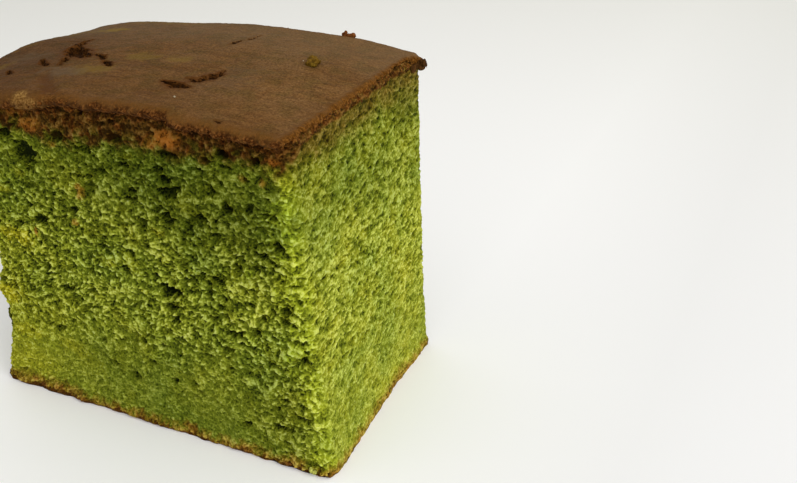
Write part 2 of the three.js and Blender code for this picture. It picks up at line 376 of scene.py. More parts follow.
def open_bubbles(depth, u, z, beds, rough):
    """Sinks the wall into every bubble that it opens, from the shallowest to the deepest."""
    step_u, step_z = u[1] - u[0], z[1] - z[0]
    beds = beds[np.argsort(beds[:, 2] - beds[:, 5])]
    for bu, bz, bd, ru, rz, rd in beds:
        i0, i1 = int((bz - 1.3 * rz - z[0]) / step_z) + 1, int((bz + 1.3 * rz - z[0]) / step_z) + 1
        j0, j1 = int((bu - 1.3 * ru - u[0]) / step_u) + 1, int((bu + 1.3 * ru - u[0]) / step_u) + 1
        if i1 <= 0 or j1 <= 0 or i0 >= len(z) or j0 >= len(u):
            continue
        i0, j0 = max(i0, 0), max(j0, 0)
        dz = (z[i0:i1, None] - bz) / rz
        du = (u[None, j0:j1] - bu) / ru
        q = rd * np.sqrt(np.maximum(1 - (dz * dz + du * du) * rough[i0:i1, j0:j1], 0))
        part = depth[i0:i1, j0:j1]
        opened = (q > 0) & (bd - q <= part)
        np.maximum(part, bd + q, out=part, where=opened)


# ---------------------------------------------------------------- marks of the front


# Each mark was picked where the camera sees it, in pixels of its view.
FRONT_HOLES = (
    # right and down to the middle, width and height of the dark inside; depth in millimetres
    (117, 136, 18, 7, 1.4), (221, 153, 13, 8, 2.8), (256, 161, 9, 9, 2.3), (169, 152, 22, 6, 1.6),
    (59, 134, 16, 8, 2), (7, 130, 14, 10, 1.6), (86, 147, 12, 8, 1.4), (158, 167, 10, 9, 1.4),
    (125, 163, 11, 5, 1.3), (24, 149, 20, 22, 1.9), (102, 168, 13, 5, 1.5), (212, 188, 6, 10, 1),
    (64, 166, 6, 5, 1.1), (251, 209, 8, 6, 1.4), (229, 207.5, 12, 10, 1.9), (273, 216, 8, 7, 1.5),
    (204, 216, 12, 7, 1.5), (169, 217, 14, 11, 1.8), (281, 246, 12, 8, 1.8), (26, 196, 9, 6, 1.1),
    (74, 207, 8, 5, 1.2), (30, 201, 9, 5, 1.2), (262, 254, 10, 6, 1.6), (66, 215, 5, 6, 1.3),
    (41, 217, 15, 8, 1.5), (257, 267, 7, 4, 1.3), (106, 234, 4, 5, 1.3), (148, 244, 5, 5, 1.2),
    (239, 266, 10, 8, 1.7), (21, 218, 9, 5, 1), (132, 251.1, 6, 6, 1.1), (204, 273, 6, 5, 1.3),
    (219, 279, 13, 7, 1.4), (209, 281, 7, 5, 1.2), (159, 274, 9, 6, 2.4), (287, 311, 11, 6, 2),
    (275, 312, 4, 4, 1.3), (182, 291, 9, 5, 2.6), (168.5, 288, 13, 11, 3.2), (176, 290.1, 13, 8, 3),
    (287, 321, 10, 6, 2), (221, 305, 8, 4, 1.3), (266, 317, 7, 7, 1.7), (47, 264, 10, 8, 1.5),
    (174, 305, 11, 7, 2.6), (214, 317, 10, 5, 2.2), (261, 331, 9, 5, 1.5), (275, 336, 6, 4, 1.4),
    (69, 286, 13, 6, 1.5), (179, 317, 8, 6, 2.4), (234, 332, 9, 7, 1.7), (243, 335, 8, 9, 1.9),
    (308, 352, 6, 5, 1.6), (305, 361, 8, 6, 1.8), (138.9, 332, 6, 5, 1.5), (210, 354, 9, 4, 1.1),
    (146, 339, 7, 6, 1.5), (60, 324, 15, 7, 1.1), (107, 339, 5, 4, 1.1), (154, 360, 9, 5, 1.2),
    (287, 400, 9, 5, 1.2), (196, 381, 8, 4, 1.1), (280, 407.1, 6, 4, 1.3), (117, 360, 10, 6, 1.3),
    (177, 379, 6, 5, 1.3), (305, 417.1, 12, 5, 1.5), (202, 390, 5, 4, 1.5), (139, 374, 9, 7, 1.3),
    (286, 427, 14, 5, 1.3), (249, 422, 9, 4, 1.1), (26, 367.1, 4, 3, 1.4),
)
TOASTED_SPOTS = (
    # right and down to the middle, width and height; strength
    (36, 231, 3, 10, 0.8), (76, 222.1, 7, 7, 0.6), (80, 191, 8, 14, 0.6), (163, 139, 26, 14, 0.9),
    (273, 165, 14, 9, 0.8), (26, 124, 22, 12, 0.6), (6.5, 107, 29.5, 16, 0.5), (243, 178, 10, 8, 0.5),
    (263, 183, 9, 9, 0.5), (150, 144, 16, 10, 0.5), (290, 150, 14, 10, 0.5), (53, 144, 10, 6, 0.4),
)
SUNNY_SPOTS = (
    # right and down to the middle, width and height; strength
    (19, 234, 36, 15, 0.8), (7, 292, 26, 16, 1), (18, 172, 14, 9, 0.5), (4, 188, 14, 10, 0.7),
    (128, 157, 10, 11, 0.5), (105, 262, 24, 10, 0.4), (130, 266, 18, 16, 0.4), (145, 290, 9, 6, 0.6),
    (157, 233, 15, 9, 0.6), (30, 330, 30, 12, 0.4), (75, 345, 30, 14, 0.3),
)
EDGE_CLUMPS = (
    # right and down to the middle, width and height; strength
    (276, 205, 13, 11, 0.8), (287, 215, 16, 12, 0.9), (295, 203, 12, 8, 0.6), (289, 237, 16, 10, 0.9),
    (281, 257, 14, 8, 0.8), (250, 272, 10, 8, 0.6), (295, 271, 12, 14, 0.8), (254, 314, 6, 6, 0.6),
    (293, 333, 10, 12, 0.7), (292, 356, 12, 10, 0.6), (250, 342, 14, 10, 0.5),
)


MARK_INSET = 0.3 * MM  # how far behind the plain front the spots and clumps are seen
DEEP_HOLE = 1.5  # above this depth, in millimetres, a hollow's middle lies further behind the wall
BEHIND_DEEP, BEHIND_SHALLOW = 0.2, 0.1  # how far behind the wall it lies then, and otherwise
HOLE_INSET = 0.8 * MM  # how far behind the plain front the dark inside of a hollow is seen
HOLE_GROWTH = 1.08  # width of a hollow's opening, against that of its dark inside
WALL_GROWTH = 1.2  # width that opens a hollow on the rough wall, against that of its opening


def seen_at(shape, place):
    """Where the camera sees a place, in pixels right of and below the middle of its view."""
    eye = CAMERA_FROM_CORNER + (shape.length / 2, -shape.depth / 2, 0)
    right, down, ahead = (place - eye) @ CAMERA_AXES
    return FOCAL * np.array((right, down)) / ahead


def place_on_front(shape, right, down, inset):
    """Place that the camera sees at a point of its view, on the front or that far behind it."""
    eye = CAMERA_FROM_CORNER + (shape.length / 2, -shape.depth / 2, 0)
    ray = CAMERA_AXES @ ((right - VIEW[0] / 2) / FOCAL, (down - VIEW[1] / 2) / FOCAL, 1.0)
    height = shape.height / 2
    for _ in range(8):
        behind = inset + shape.side_waist * waist(shape, height)
        place = eye + ray * (behind - CAMERA_FROM_CORNER[1]) / ray[1]
        height = place[2]
    return place


def marks_on_front(shape, marks, inset, growth=1.0):
    """Place along the front, height and half sizes, in millimetres, of marks in the camera's view."""
    rows = []
    for right, down, width, height, last in marks:
        place = place_on_front(shape, right, down, inset)
        here = seen_at(shape, place)
        along = np.hypot(*(seen_at(shape, place + (MM, 0, 0)) - here))
        up = np.hypot(*(seen_at(shape, place + (0, 0, MM)) - here))
        sizes = growth * width / along / 2, growth * height / up / 2
        rows.append((place[0] / MM, place[2] / MM, *sizes, last))
    return np.round(rows, 1)


def front_holes(shape):
    """Beds of the front's larger hollows, turned from real places to places on the plain wall."""
    run, path, _ = outline(shape)
    front = path[: 2 * ARC_POINTS, 0]
    x, z, wide, high, deep = marks_on_front(shape, FRONT_HOLES, HOLE_INSET, HOLE_GROWTH).T
    behind = np.where(deep > DEEP_HOLE, BEHIND_DEEP, BEHIND_SHALLOW)
    rows = np.stack([x, z, behind, wide, high, deep], 1) * MM
    for row in rows:
        top = top_at(shape, row[0], -shape.depth / 2)
        corners = np.array([-shape.length / 2, shape.length / 2])
        ends, _ = wall_place(shape, corners, -shape.depth / 2 + 0 * corners, row[1], top - row[1])
        row[0] = np.interp(np.interp(row[0], ends, corners), front, run[: len(front)])
        row[1] = row[1] * shape.height / top
    rows[:, 3:5] *= WALL_GROWTH
    return rows


RANDOM_BUBBLES = (
    # depth behind the wall that they reach and usual radius, in millimetres, and how many
    (0.9, 0.6, 2000),  # small, on the baked sides
    (0.9, 1.05, 300),  # large, on the hidden baked sides
    (0.5, 0.36, 1500),  # fine, on the knife cut
)


def bubble_beds(shape, rng):
    """Every bubble behind the walls: random ones, larger or finer by side, and the front's own."""
    run, _, sides = outline(shape)
    start, stop = sides["cut"]
    small, large, on_cut = (
        bubbles(rng, run[-1], shape.height, reach * MM, radius * MM, count)
        for reach, radius, count in RANDOM_BUBBLES
    )
    large = large[large[:, 0] > stop]
    small = small[(small[:, 1] > 20 * MM) | (small[:, 2] > 0.5 * MM) | (small[:, 0] > stop)]
    baked = np.concatenate([small, large])
    baked = baked[(baked[:, 0] < start) | (baked[:, 0] > stop)]
    on_cut = on_cut[(on_cut[:, 0] > start) & (on_cut[:, 0] < stop)]
    beds = np.concatenate([baked, on_cut, front_holes(shape)])

    # The back edge of the cut stays whole, and the bubbles where the outline closes lie on both its ends.
    beds = beds[np.abs(beds[:, 0] - stop) > 2.5 * MM]
    seam = beds[beds[:, 0] < 3 * MM] + [run[-1], 0, 0, 0, 0, 0]
    return np.concatenate([beds, seam])


# ---------------------------------------------------------------- meshes


MAP_MARGIN = 0.004  # rim of the map that a piece leaves free


def grid_piece(name, places, fields, keep=None):
    """A mesh from a grid of points, with one number field per name and a map over the grid."""
    rows, columns = places.shape[:2]
    index = np.arange(rows * columns).reshape(rows, columns)
    quads = np.stack([index[:-1, :-1], index[:-1, 1:], index[1:, 1:], index[1:, :-1]], -1)
    quads = quads.reshape(-1, 4)
    if keep is not None:
        whole = keep[:-1, :-1] & keep[:-1, 1:] & keep[1:, 1:] & keep[1:, :-1]
        quads = quads[whole.ravel()]
    used = np.zeros(rows * columns, bool)
    used[quads] = True
    renumber = np.cumsum(used) - 1
    quads = renumber[quads]
    mesh = bpy.data.meshes.new(name)
    mesh.vertices.add(int(used.sum()))
    mesh.vertices.foreach_set("co", places.reshape(-1, 3)[used].astype(np.float32).ravel())
    mesh.loops.add(quads.size)
    mesh.loops.foreach_set("vertex_index", quads.astype(np.int32).ravel())
    mesh.polygons.add(len(quads))
    mesh.polygons.foreach_set("loop_start", np.arange(0, quads.size, 4, dtype=np.int32))
    mesh.update(calc_edges=True)
    for field, values in fields.items():
        attribute = mesh.attributes.new(field, "FLOAT", "POINT")
        flat = np.broadcast_to(values, (rows, columns)).reshape(-1)[used]
        attribute.data.foreach_set("value", flat.astype(np.float32))
    across, up = (np.linspace(MAP_MARGIN, 1 - MAP_MARGIN, count) for count in (columns, rows))
    across, up = np.meshgrid(across, up)
    flat_map = np.stack([across, up], -1).reshape(-1, 2)[used]
    layer = mesh.uv_layers.new(name="OFBake")
    layer.uv.foreach_set("vector", flat_map[quads.ravel()].astype(np.float32).ravel())
    mesh.polygons.foreach_set("use_smooth", np.ones(len(quads), bool))
    mesh.validate()
    piece = bpy.data.objects.new(name, mesh)
    bpy.context.collection.objects.link(piece)
    return piece


def dress(piece, material):
    """Gives a piece its material and ties it to the frame."""
    piece.data.materials.append(material)
    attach(piece, BODY)
    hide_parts(NODE)


def frame_shift(shape):
    """Where the block's own middle lies in the frame, whose origin is the middle of its box."""
    low, high = CAD_BOX
    return (low.x + high.x) / 2 - (shape.foot_flare + shape.foot_crumble - shape.lip) / 2


# ---------------------------------------------------------------- crumb walls


WALLS = (
    # name, side, part of the side, step along, step up
    ("front_crumb_left", "front", (0.0, 0.5), 0.2 * MM, 0.2 * MM),
    ("front_crumb_right", "front", (0.5, 1.0), 0.2 * MM, 0.2 * MM),
    ("cut_crumb", "cut", (0.0, 1.0), 0.21 * MM, 0.205 * MM),
    ("back_crumb", "back", (0.0, 1.0), 0.3 * MM, 0.3 * MM),
    ("end_crumb", "end", (0.0, 1.0), 0.3 * MM, 0.3 * MM),
)


SKIN_TUCK = 0.3 * MM  # how far below the top the walls end, under the skin


def wall_grid(shape, side, part, step_u, step_z):
    """Points of a plain wall, and what the relief and the colours need to know about each."""
    at = SimpleNamespace()
    run, path, sides = outline(shape)
    start, stop = sides[side]
    start, stop = start + (stop - start) * part[0], start + (stop - start) * part[1]
    at.u_row = np.linspace(start, stop, int(round((stop - start) / step_u)) + 1)
    at.u = at.u_row[None, :]
    at.x0, at.y0 = np.interp(at.u, run, path[:, 0]), np.interp(at.u, run, path[:, 1])
    level = np.linspace(0, 1, int(round(shape.height / step_z)) + 1)
    at.z_column = level * shape.height
    top = top_at(shape, at.x0, at.y0)
    at.z = level[:, None] * (top - SKIN_TUCK)
    at.drop = top - at.z
    at.x, at.y = wall_place(shape, at.x0, at.y0, at.z, at.drop)

    at.cutness = smoothstep(at.x0, shape.length / 2 - 1.2 * MM, shape.length / 2 - 0.2 * MM)
    at.baked = 1 - at.cutness
    at.to_cut = np.maximum(shape.length / 2 - at.x0, 0)
    at.to_edge = at.y0 + shape.depth / 2
    at.along = at.x + at.to_edge * at.cutness
    at.ragged = fractal(at.u, at.z, 2.6 * MM, 21, 3)
    at.crumbly = noise(at.u, at.z, 0.8 * MM, 24)
    at.uneven = 0.35 * at.ragged + 0.35 * at.crumbly
    at.clumped = spots(marks_on_front(shape, EDGE_CLUMPS, MARK_INSET), at.along, at.z, at.uneven)
    # Painted shade under the crust that hangs free at the back of the cut; it browns and darkens the crumb
    # there.
    under_flap = smoothstep(at.y0, 10 * MM, 20 * MM) * (1 - smoothstep(at.drop, 4 * MM, 16 * MM))
    at.under_flap = under_flap * at.cutness
    return at


def torn_foam(crumb, u, z, cutness):
    """Relief of the torn cells out of the wall, and how deep in a pit each point is."""
    baked = 1 - cutness
    crumble_u = 0.2 * MM * fractal(u, z, 0.6 * MM, 41, 2) + 0.4 * MM * fractal(u, z, 2.2 * MM, 51, 2)
    crumble_z = 0.2 * MM * fractal(u, z, 0.6 * MM, 45, 2) + 0.35 * MM * fractal(u, z, 1.9 * MM, 52, 2)
    warp_u, warp_z = u + crumble_u, z + crumble_z

    # Grains stand out of the baked sides, and lie in the knife cut as small pits.
    size = crumb.granule
    grain_z = z + crumble_u
    grains = cells(u / 1.25 + crumble_z, grain_z, size, 1.1 / size, 0.35 * size, 0.4, 0.5 * size, 57)
    squat = 0.9 * size
    pits = cells(u / 2.1 + crumble_z, grain_z, squat, 1.1 / squat, 0.35 * squat, 0.4, 0.5 * squat, 57)
    grains = (grains - 0.30 * size) * (0.8 * baked) + (0.5 * squat - 0.9 * pits) * cutness

    # Baked sides: patches of small bubbles and patches of wide ones.
    size = crumb.baked_cell
    wide = 1.55 * size
    narrow_cells = cells(warp_u / 1.65, warp_z, 0.82 * size, 1.8 / size, 0.4 * size, 0.6, 0.8 * size, 53)
    wide_cells = cells(warp_u / 1.5, warp_z, 0.95 * wide, 1.5 / wide, 0.35 * wide, 0.5, 0.7 * wide, 56)
    choice = noise(u, z, 2.4 * MM, 67) + 0.6 * noise(u, z, 1.0 * MM, 68)
    choice = smoothstep(choice, 0.15, 0.5)
    on_baked = narrow_cells * (1 - choice) + wide_cells * choice
    on_baked = np.minimum(on_baked, 0.5 * size) - 0.15 * size + 1.1 * grains
    pit_baked = 0.375 - on_baked / (1.2 * size)

    # Knife cut: one kind of shallow bubble.
    size = crumb.cut_cell
    on_cut = cells(warp_u / 2, warp_z, 0.92 * size, 1.2 / size, 0.18 * size, 0.4, 0.7 * size, 63)
    on_cut = np.minimum(on_cut, 0.32 * size) - 0.08 * size + 0.9 * grains
    pit_cut = 0.615 - on_cut / (1.3 * size)
    pit = np.clip(pit_baked * baked + pit_cut * cutness, 0, 0.85)
    return on_baked * baked + on_cut * cutness, pit


def crumb_relief(crumb, at, beds):
    """How far the torn crumb lies behind the plain wall, and how deep in a pit each point is."""
    u, z, baked, cutness = at.u, at.z, at.baked, at.cutness
    foam, pit = torn_foam(crumb, u, z, cutness)
    near = 1 - smoothstep(at.to_cut, 6 * MM, 24 * MM)
    layers = noise(u / 3, z + 0.22 * u, 1.3 * MM, 65) + 0.5 * noise(u / 2, z + 0.22 * u, 0.8 * MM, 66)
    layers = near * baked * (1 - smoothstep(z, 14 * MM, 26 * MM)) * layers

    # Lumps of the wall itself, higher at the front edge of the cut, and the bubbles that it opens.
    lumps = (0.34 * baked + 0.12 * cutness) * fractal(u / 1.5, z, 3.2 * MM, 11, 4, 0.6) * MM
    near_cut = np.exp(-((at.to_cut / (3 * MM)) ** 2)) * baked
    edge_lumps = near_cut + cutness * np.exp(-((at.to_edge / (2.2 * MM)) ** 2))
    lumps = lumps + 0.75 * MM * edge_lumps * fractal(u / 1.2, z, 2.4 * MM, 15, 3)
    lumps = lumps + 0.38 * MM * layers
    sunk = -lumps
    rough = 1.15 + 0.5 * noise(u, z, 0.5 * MM, 54) + 0.4 * noise(u, z, 1.3 * MM, 55)
    open_bubbles(sunk, at.u_row, at.z_column, beds, rough)
    hollow = sunk + lumps
    deep = smoothstep(hollow, 1.3 * MM, 2.3 * MM)

    # The foam is calmer near the foot, and the knife smeared the foot of the cut.
    calm = 0.55 * (1 - smoothstep(z, 10 * MM, 32 * MM)) * (1 - 0.8 * near)
    calm = (calm + 0.25 * smoothstep(z, 45 * MM, 65 * MM)) * baked
    smeared = cutness * (1 - smoothstep(z, 5 * MM, 32 * MM))
    strength = (0.84 + 0.3 * noise(u, z, 7 * MM, 59)) * (1 - calm)
    strength = strength * (1 - 0.3 * cutness - 0.35 * smeared) * (1 - 0.5 * deep)

    # Painted shade: the darkness grows inside opened hollows, and deep hollows are painted near black.
    pit = pit + 0.6 * smoothstep(hollow, 0.1 * MM, 1.2 * MM)
    pit = pit - 0.14 * fractal(u, z, 1.9 * MM, 58, 3) * baked - 0.16 * layers
    smear = fractal(u, 0.22 * z, 0.7 * MM, 64, 2)
    pit = pit + (0.38 + 0.16 * smear - pit) * 0.45 * smeared
    pit = pit + (0.455 - pit) * calm
    pit = pit - 0.05 * near * baked * (1 - smoothstep(z, 40 * MM, 58 * MM))
    return sunk - foam * strength, np.clip(pit, 0, 1) * (1 - deep) + 1.2 * deep


BAND = (
    # place along the front, depth of the browned crumb below the top, both in millimetres
    (-44, 8.6), (-24, 8.6), (-18.5, 9.4), (-13.1, 10.4), (-7.9, 11), (-2.3, 10.2), (2.8, 9.8),
    (7.6, 10), (11.2, 10), (14.7, 9.4), (18.3, 9.2), (21.9, 8.8), (26.4, 8.6), (29.7, 8.2), (32.9, 8.1),
    (37, 8.2), (39.9, 8.9), (43.1, 8.1), (46.3, 6),
)
HIDDEN_BAND = 8.2 * MM  # the same depth on the other baked sides
CUT_BAND = (3.6, 3.4)  # the same depth on the cut, and how much is added at its front edge, in millimetres


def browned_depth(shape, at):
    """How far down from the top the crumb is browned."""
    places, depths = zip(*BAND)
    front = front_share(shape, at.y0)
    along = np.interp(at.x / MM, places, depths) * MM
    baked = along * front + HIDDEN_BAND * (1 - front)
    return baked * at.baked + (CUT_BAND[0] + CUT_BAND[1] * front) * MM * at.cutness


def browned_field(shape, at):
    """How brown the crumb is: a ragged band under the crust, and below it on the cut a tinge, partly painted
    shade.
    """
    reach = browned_depth(shape, at)
    edge = at.drop + (1.1 * at.ragged + 0.6 * at.crumbly) * (at.baked + 0.3 * at.cutness) * MM
    fade = (2.4 * at.baked + 1.8 * at.cutness) * MM
    browned = 1 - smoothstep(edge, reach - fade, reach + 1.0 * MM * at.baked)
    pockets = smoothstep(fractal(at.u / 1.3, at.z, 1.7 * MM, 25, 2), 0.15, 0.5)
    pockets = pockets * smoothstep(at.drop, reach - 5 * MM, reach - 2 * MM)
    browned = browned * (1 - 0.35 * pockets * at.baked)
    # On the cut: partly browning, partly painted shade below the crust's edge; under the hanging crust,
    # painted shade.
    tinged_and_shaded = 0.72 * at.cutness * (1 - smoothstep(at.drop + 1.2 * at.ragged * MM, 3 * MM, 10 * MM))
    return np.maximum(browned, np.maximum(tinged_and_shaded, 0.55 * at.under_flap))


def searing_and_shade_field(shape, at):
    """How dark the crumb is just below the broken edge of the skin: baked darker, and painted shade under
    the edge.
    """
    skin_edge = reach_to_drop(shape, crust_reach(shape, at.x0, at.y0))
    below_edge = at.drop - skin_edge + (0.6 * at.ragged + 0.7 * at.crumbly) * MM
    strength = 0.9 - 0.75 * (1 - smoothstep(at.x0, -26 * MM, -10 * MM))
    return strength * at.baked * (1 - smoothstep(below_edge, 0.9 * MM, 2.4 * MM))


def base_field(at):
    """How near the browned base each point is, with bristly streaks up from it."""
    bristles = noise(at.u, 0.35 * at.z, 0.5 * MM, 26)
    rough = 0.75 * at.ragged + 0.55 * at.crumbly + 0.55 * bristles
    above = at.z + rough * (at.baked + 0.9 * at.cutness) * MM
    far = 1 - smoothstep(at.x0, -30 * MM, -8 * MM)
    top = (3.6 * at.baked + 4.0 * at.cutness + 2.4 * far * at.baked) * MM
    return (at.baked + 0.8 * at.cutness) * (1 - smoothstep(above, (0.4 * at.baked + 0.1) * MM, top))


def tone_fields(shape, at):
    """Where the crumb is toasted or yellower, where painted light lies on it and where painted shade does.
    """
    z, x0, baked, cutness = at.z, at.x0, at.baked, at.cutness
    front = smoothstep(-at.y0, shape.depth / 2 - 1.5 * MM, shape.depth / 2) * baked
    toasted, sunny_spots = (
        spots(marks_on_front(shape, marks, MARK_INSET), at.along, z, at.uneven) * front
        for marks in (TOASTED_SPOTS, SUNNY_SPOTS)
    )
    clumps = fractal(at.u, z, 3.4 * MM, 29, 2)
    near_cut = x0 + 2.6 * MM * clumps
    near_cut = smoothstep(near_cut, shape.length / 2 - 7.5 * MM, shape.length / 2 - 2.0 * MM)
    near_edge = near_cut * (1 - smoothstep(at.to_edge - 1.5 * MM * clumps, 0.5 * MM, 3.5 * MM))
    # Painted light: by the cut's front edge the front is painted bright, as if lit like the cut; the clumps
    # there are real relief.
    lit_edge = 0.5 * near_edge * smoothstep(at.drop, 6 * MM, 12 * MM)
    bright = np.maximum(at.clumped * np.maximum(front, cutness), lit_edge)

    # Yellower crumb: partly its own tone, partly painted light by the cut's edge and low at the far end.
    near_end = 1 - smoothstep(x0, -0.5 * shape.length, -0.15 * shape.length)
    far_foot = (1 - smoothstep(x0, -35 * MM, -20 * MM)) * (1 - smoothstep(z, 12 * MM, 26 * MM))
    sunny = 0.3 * near_end * (1 - smoothstep(z, 0.3 * shape.height, 0.8 * shape.height))
    sunny = sunny + sunny_spots + 0.15 * near_edge
    sunny = sunny + 0.2 * cutness * smoothstep(clumps, -0.2, 0.5) + 0.15 * baked * far_foot

    # Painted shade: high on the front under the crust and more towards the cut, low on the front away from
    # the far end, high on the cut and under the hanging crust.
    shaded = smoothstep(z, 0.5 * shape.height, 0.95 * shape.height) * (1 - 0.3 * at.ragged)
    towards_cut = smoothstep(x0, -0.2 * shape.length, 0.4 * shape.length)
    shaded = shaded * (0.76 + 1.2 * towards_cut) * (1 - near_edge)
    low = 1 - smoothstep(z + 4 * MM * clumps, 12 * MM, 30 * MM)
    low = 0.5 * smoothstep(x0, -34 * MM, -12 * MM) * low * (1 - near_edge) * (1 - 0.4 * near_cut)
    shaded = np.maximum(shaded, low * front)
    shaded = shaded * baked + cutness * (0.16 + 0.8 * smoothstep(z, 0.5 * shape.height, shape.height))
    shaded = shaded + 0.6 * at.under_flap
    sunny, shaded = np.clip(sunny, 0, 1), np.clip(shaded, 0, 1)
    return {"toasted": toasted, "sunny": sunny, "bright": bright, "shaded": shaded}


def spots(rows, along, z, uneven):
    """Strength of soft ragged spots, from their places, half sizes and strengths."""
    strongest = np.zeros(np.broadcast(along, z).shape)
    for place, height, wide, high, strength in rows:
        away = np.hypot((along - place * MM) / (wide * MM), (z - height * MM) / (high * MM)) + uneven
        strongest = np.maximum(strongest, strength * (1 - smoothstep(away, 0.4, 1.5)))
    return strongest


def make_wall(shape, crumb, name, side, part, step_u, step_z, beds):
    """One wall of open crumb, with the number fields that colour it."""
    at = wall_grid(shape, side, part, step_u, step_z)
    depth, pit = crumb_relief(crumb, at, beds)
    browned = browned_field(shape, at)
    depth = depth - 0.7 * MM * at.clumped * (at.to_edge < 6 * MM)
    depth = depth * (1 - 0.35 * browned) * smoothstep(at.z, -0.6 * MM, 0.9 * MM)
    under_skin = 1 - smoothstep(at.drop, SKIN_TUCK, SKIN_TUCK + 1.2 * MM)
    depth = depth * (1 - under_skin) + 0.35 * MM * under_skin
    nx, ny = facing(shape, at.x0, at.y0)
    x, y = at.x - nx * depth + frame_shift(shape), at.y - ny * depth
    places = np.stack([x, y, np.broadcast_to(at.z, x.shape)], -1)
    fields = {"pit": pit, "browned": browned, "base": base_field(at), "seared": searing_and_shade_field(shape, at)}
    fields.update(tone_fields(shape, at))
    return grid_piece(name, places, fields)


BASE_RINGS = (1.0, 0.985, 0.96, 0.92, 0.85, 0.75, 0.6, 0.45, 0.3, 0.15, 0.0)  # shares of the outline


def make_base(shape):
    """The thin browned base, as rings that close in from the foot of the walls."""
    run, path, _ = outline(shape)
    u = np.arange(0, run[-1] + 0.3 * MM, 0.5 * MM)
    x0, y0 = np.interp(u, run, path[:, 0])[None, :], np.interp(u, run, path[:, 1])[None, :]
    x, y = wall_place(shape, x0, y0, 0.0 * x0, top_at(shape, x0, y0))
    share = np.array(BASE_RINGS)[:, None]
    x, y = x * share, y * share
    lift = 0.12 * MM * np.maximum(fractal(x, y, 3 * MM, 91, 2), 0) * smoothstep(1 - share, 0, 0.04)
    places = np.stack([x + frame_shift(shape), y, lift], -1)
    return grid_piece("base_skin", places, {"pit": 0.4, "base": 1.0})


# ---------------------------------------------------------------- crust


TEARS = (
    # depth, then points along the tear: place in plan and half its width, all in millimetres
    (1.6, ((-28.4, 7.0, 0.4), (-28.7, 4.2, 0.9), (-27.2, 1.0, 1.2), (-25.0, -1.8, 1.9), (-22.0, -3.8, 2.1),
           (-18.8, -5.6, 1.5), (-16.9, -6.2, 0.4))),
    (0.9, ((-16.6, -4.2, 0.3), (-14.0, -5.4, 0.9), (-12.0, -7.2, 0.5))),
    (1.0, ((-11.2, -8.0, 0.3), (-9.0, -9.2, 0.9), (-7.0, -10.8, 0.4))),
    (0.9, ((-22.8, -7.4, 0.4), (-21.5, -8.7, 0.8), (-20.3, -9.9, 0.3))),
    (0.7, ((-21.0, -10.7, 0.3), (-20.0, -11.6, 0.5))),
    (0.9, ((-27.8, -8.9, 0.4), (-25.5, -10.8, 0.9), (-23.0, -12.5, 0.5))),
    (0.7, ((-30.6, -16.0, 0.4), (-28.4, -17.3, 0.7))),
    (1.3, ((9.0, -14.0, 0.3), (10.8, -14.6, 1.0), (13.2, -14.9, 1.35), (15.9, -15.1, 0.6))),
    (0.85, ((12.8, -11.0, 0.4), (14.6, -10.9, 1.3), (16.2, -9.5, 1.5), (17.3, -7.3, 1.0),
            (16.9, -4.6, 0.2))),
    (0.3, ((7.9, 9.2, 0.3), (8.4, 11.2, 0.7), (8.9, 13.6, 0.3))),
    (0.3, ((9.7, 13.6, 0.3), (10.2, 15.8, 0.6), (10.5, 17.9, 0.3))),
    (0.3, ((29.6, -25.4, 0.4), (30.8, -25.8, 0.6))),
)
OCHRE_PATCHES = (
    # place in plan, half its size both ways in millimetres, strength
    (-32.6, 18.1, 4.5, 2.5, 0.8), (-4.4, -3.6, 3.5, 2.5, 0.4), (4.3, -2.4, 3.0, 2.0, 0.4),
    (-9.6, -12.7, 4.5, 2.5, 0.5), (-45, 2, 3.5, 6, 0.35), (-44.5, 14.5, 5, 6, 0.4),
    (-20, 25.5, 9, 2, 0.35), (-36.2, -13.6, 1.6, 4, 0.4),
)
# Greyer patches of the skin: partly its own tone, partly painted sheen.
GREYED_PATCHES = ((-16.5, -15.6, 4.5, 2.5, 0.6), (-34.4, -7.5, 5, 3.5, 0.35), (22, -8, 6, 6, 0.2))
DENT = ((-18.8, -17.3, 1.2), (-13.0, -22.5, 1.8), (-7.2, -28.0, 1.8))
TAN_PATCH = ((-16.4, -28.8, 2.0), (-14.0, -28.9, 2.6), (-11.0, -30.2, 3.2), (-8.4, -31.4, 2.2))
OVERHANG = (21.5, 25.0)  # from here to here along the cut, the crust comes to hang free
SKIN_STEP = 0.27 * MM
CUT_ROLL = 0.7 * MM  # radius of the skin's turn at the knife cut


def along_route(x, y, route):
    """Distance from a route in shares of its half width there: under 1 inside it."""
    nearest = np.full(np.broadcast(x, y).shape, 99.0)
    for (ax, ay, aw), (bx, by, bw) in zip(route, route[1:]):
        ax, ay, aw, bx, by, bw = np.array([ax, ay, aw, bx, by, bw]) * MM
        length = (bx - ax) ** 2 + (by - ay) ** 2
        t = np.clip(((x - ax) * (bx - ax) + (y - ay) * (by - ay)) / length, 0, 1)
        away = np.hypot(x - ax - t * (bx - ax), y - ay - t * (by - ay))
        nearest = np.minimum(nearest, away / (aw + t * (bw - aw)))
    return nearest


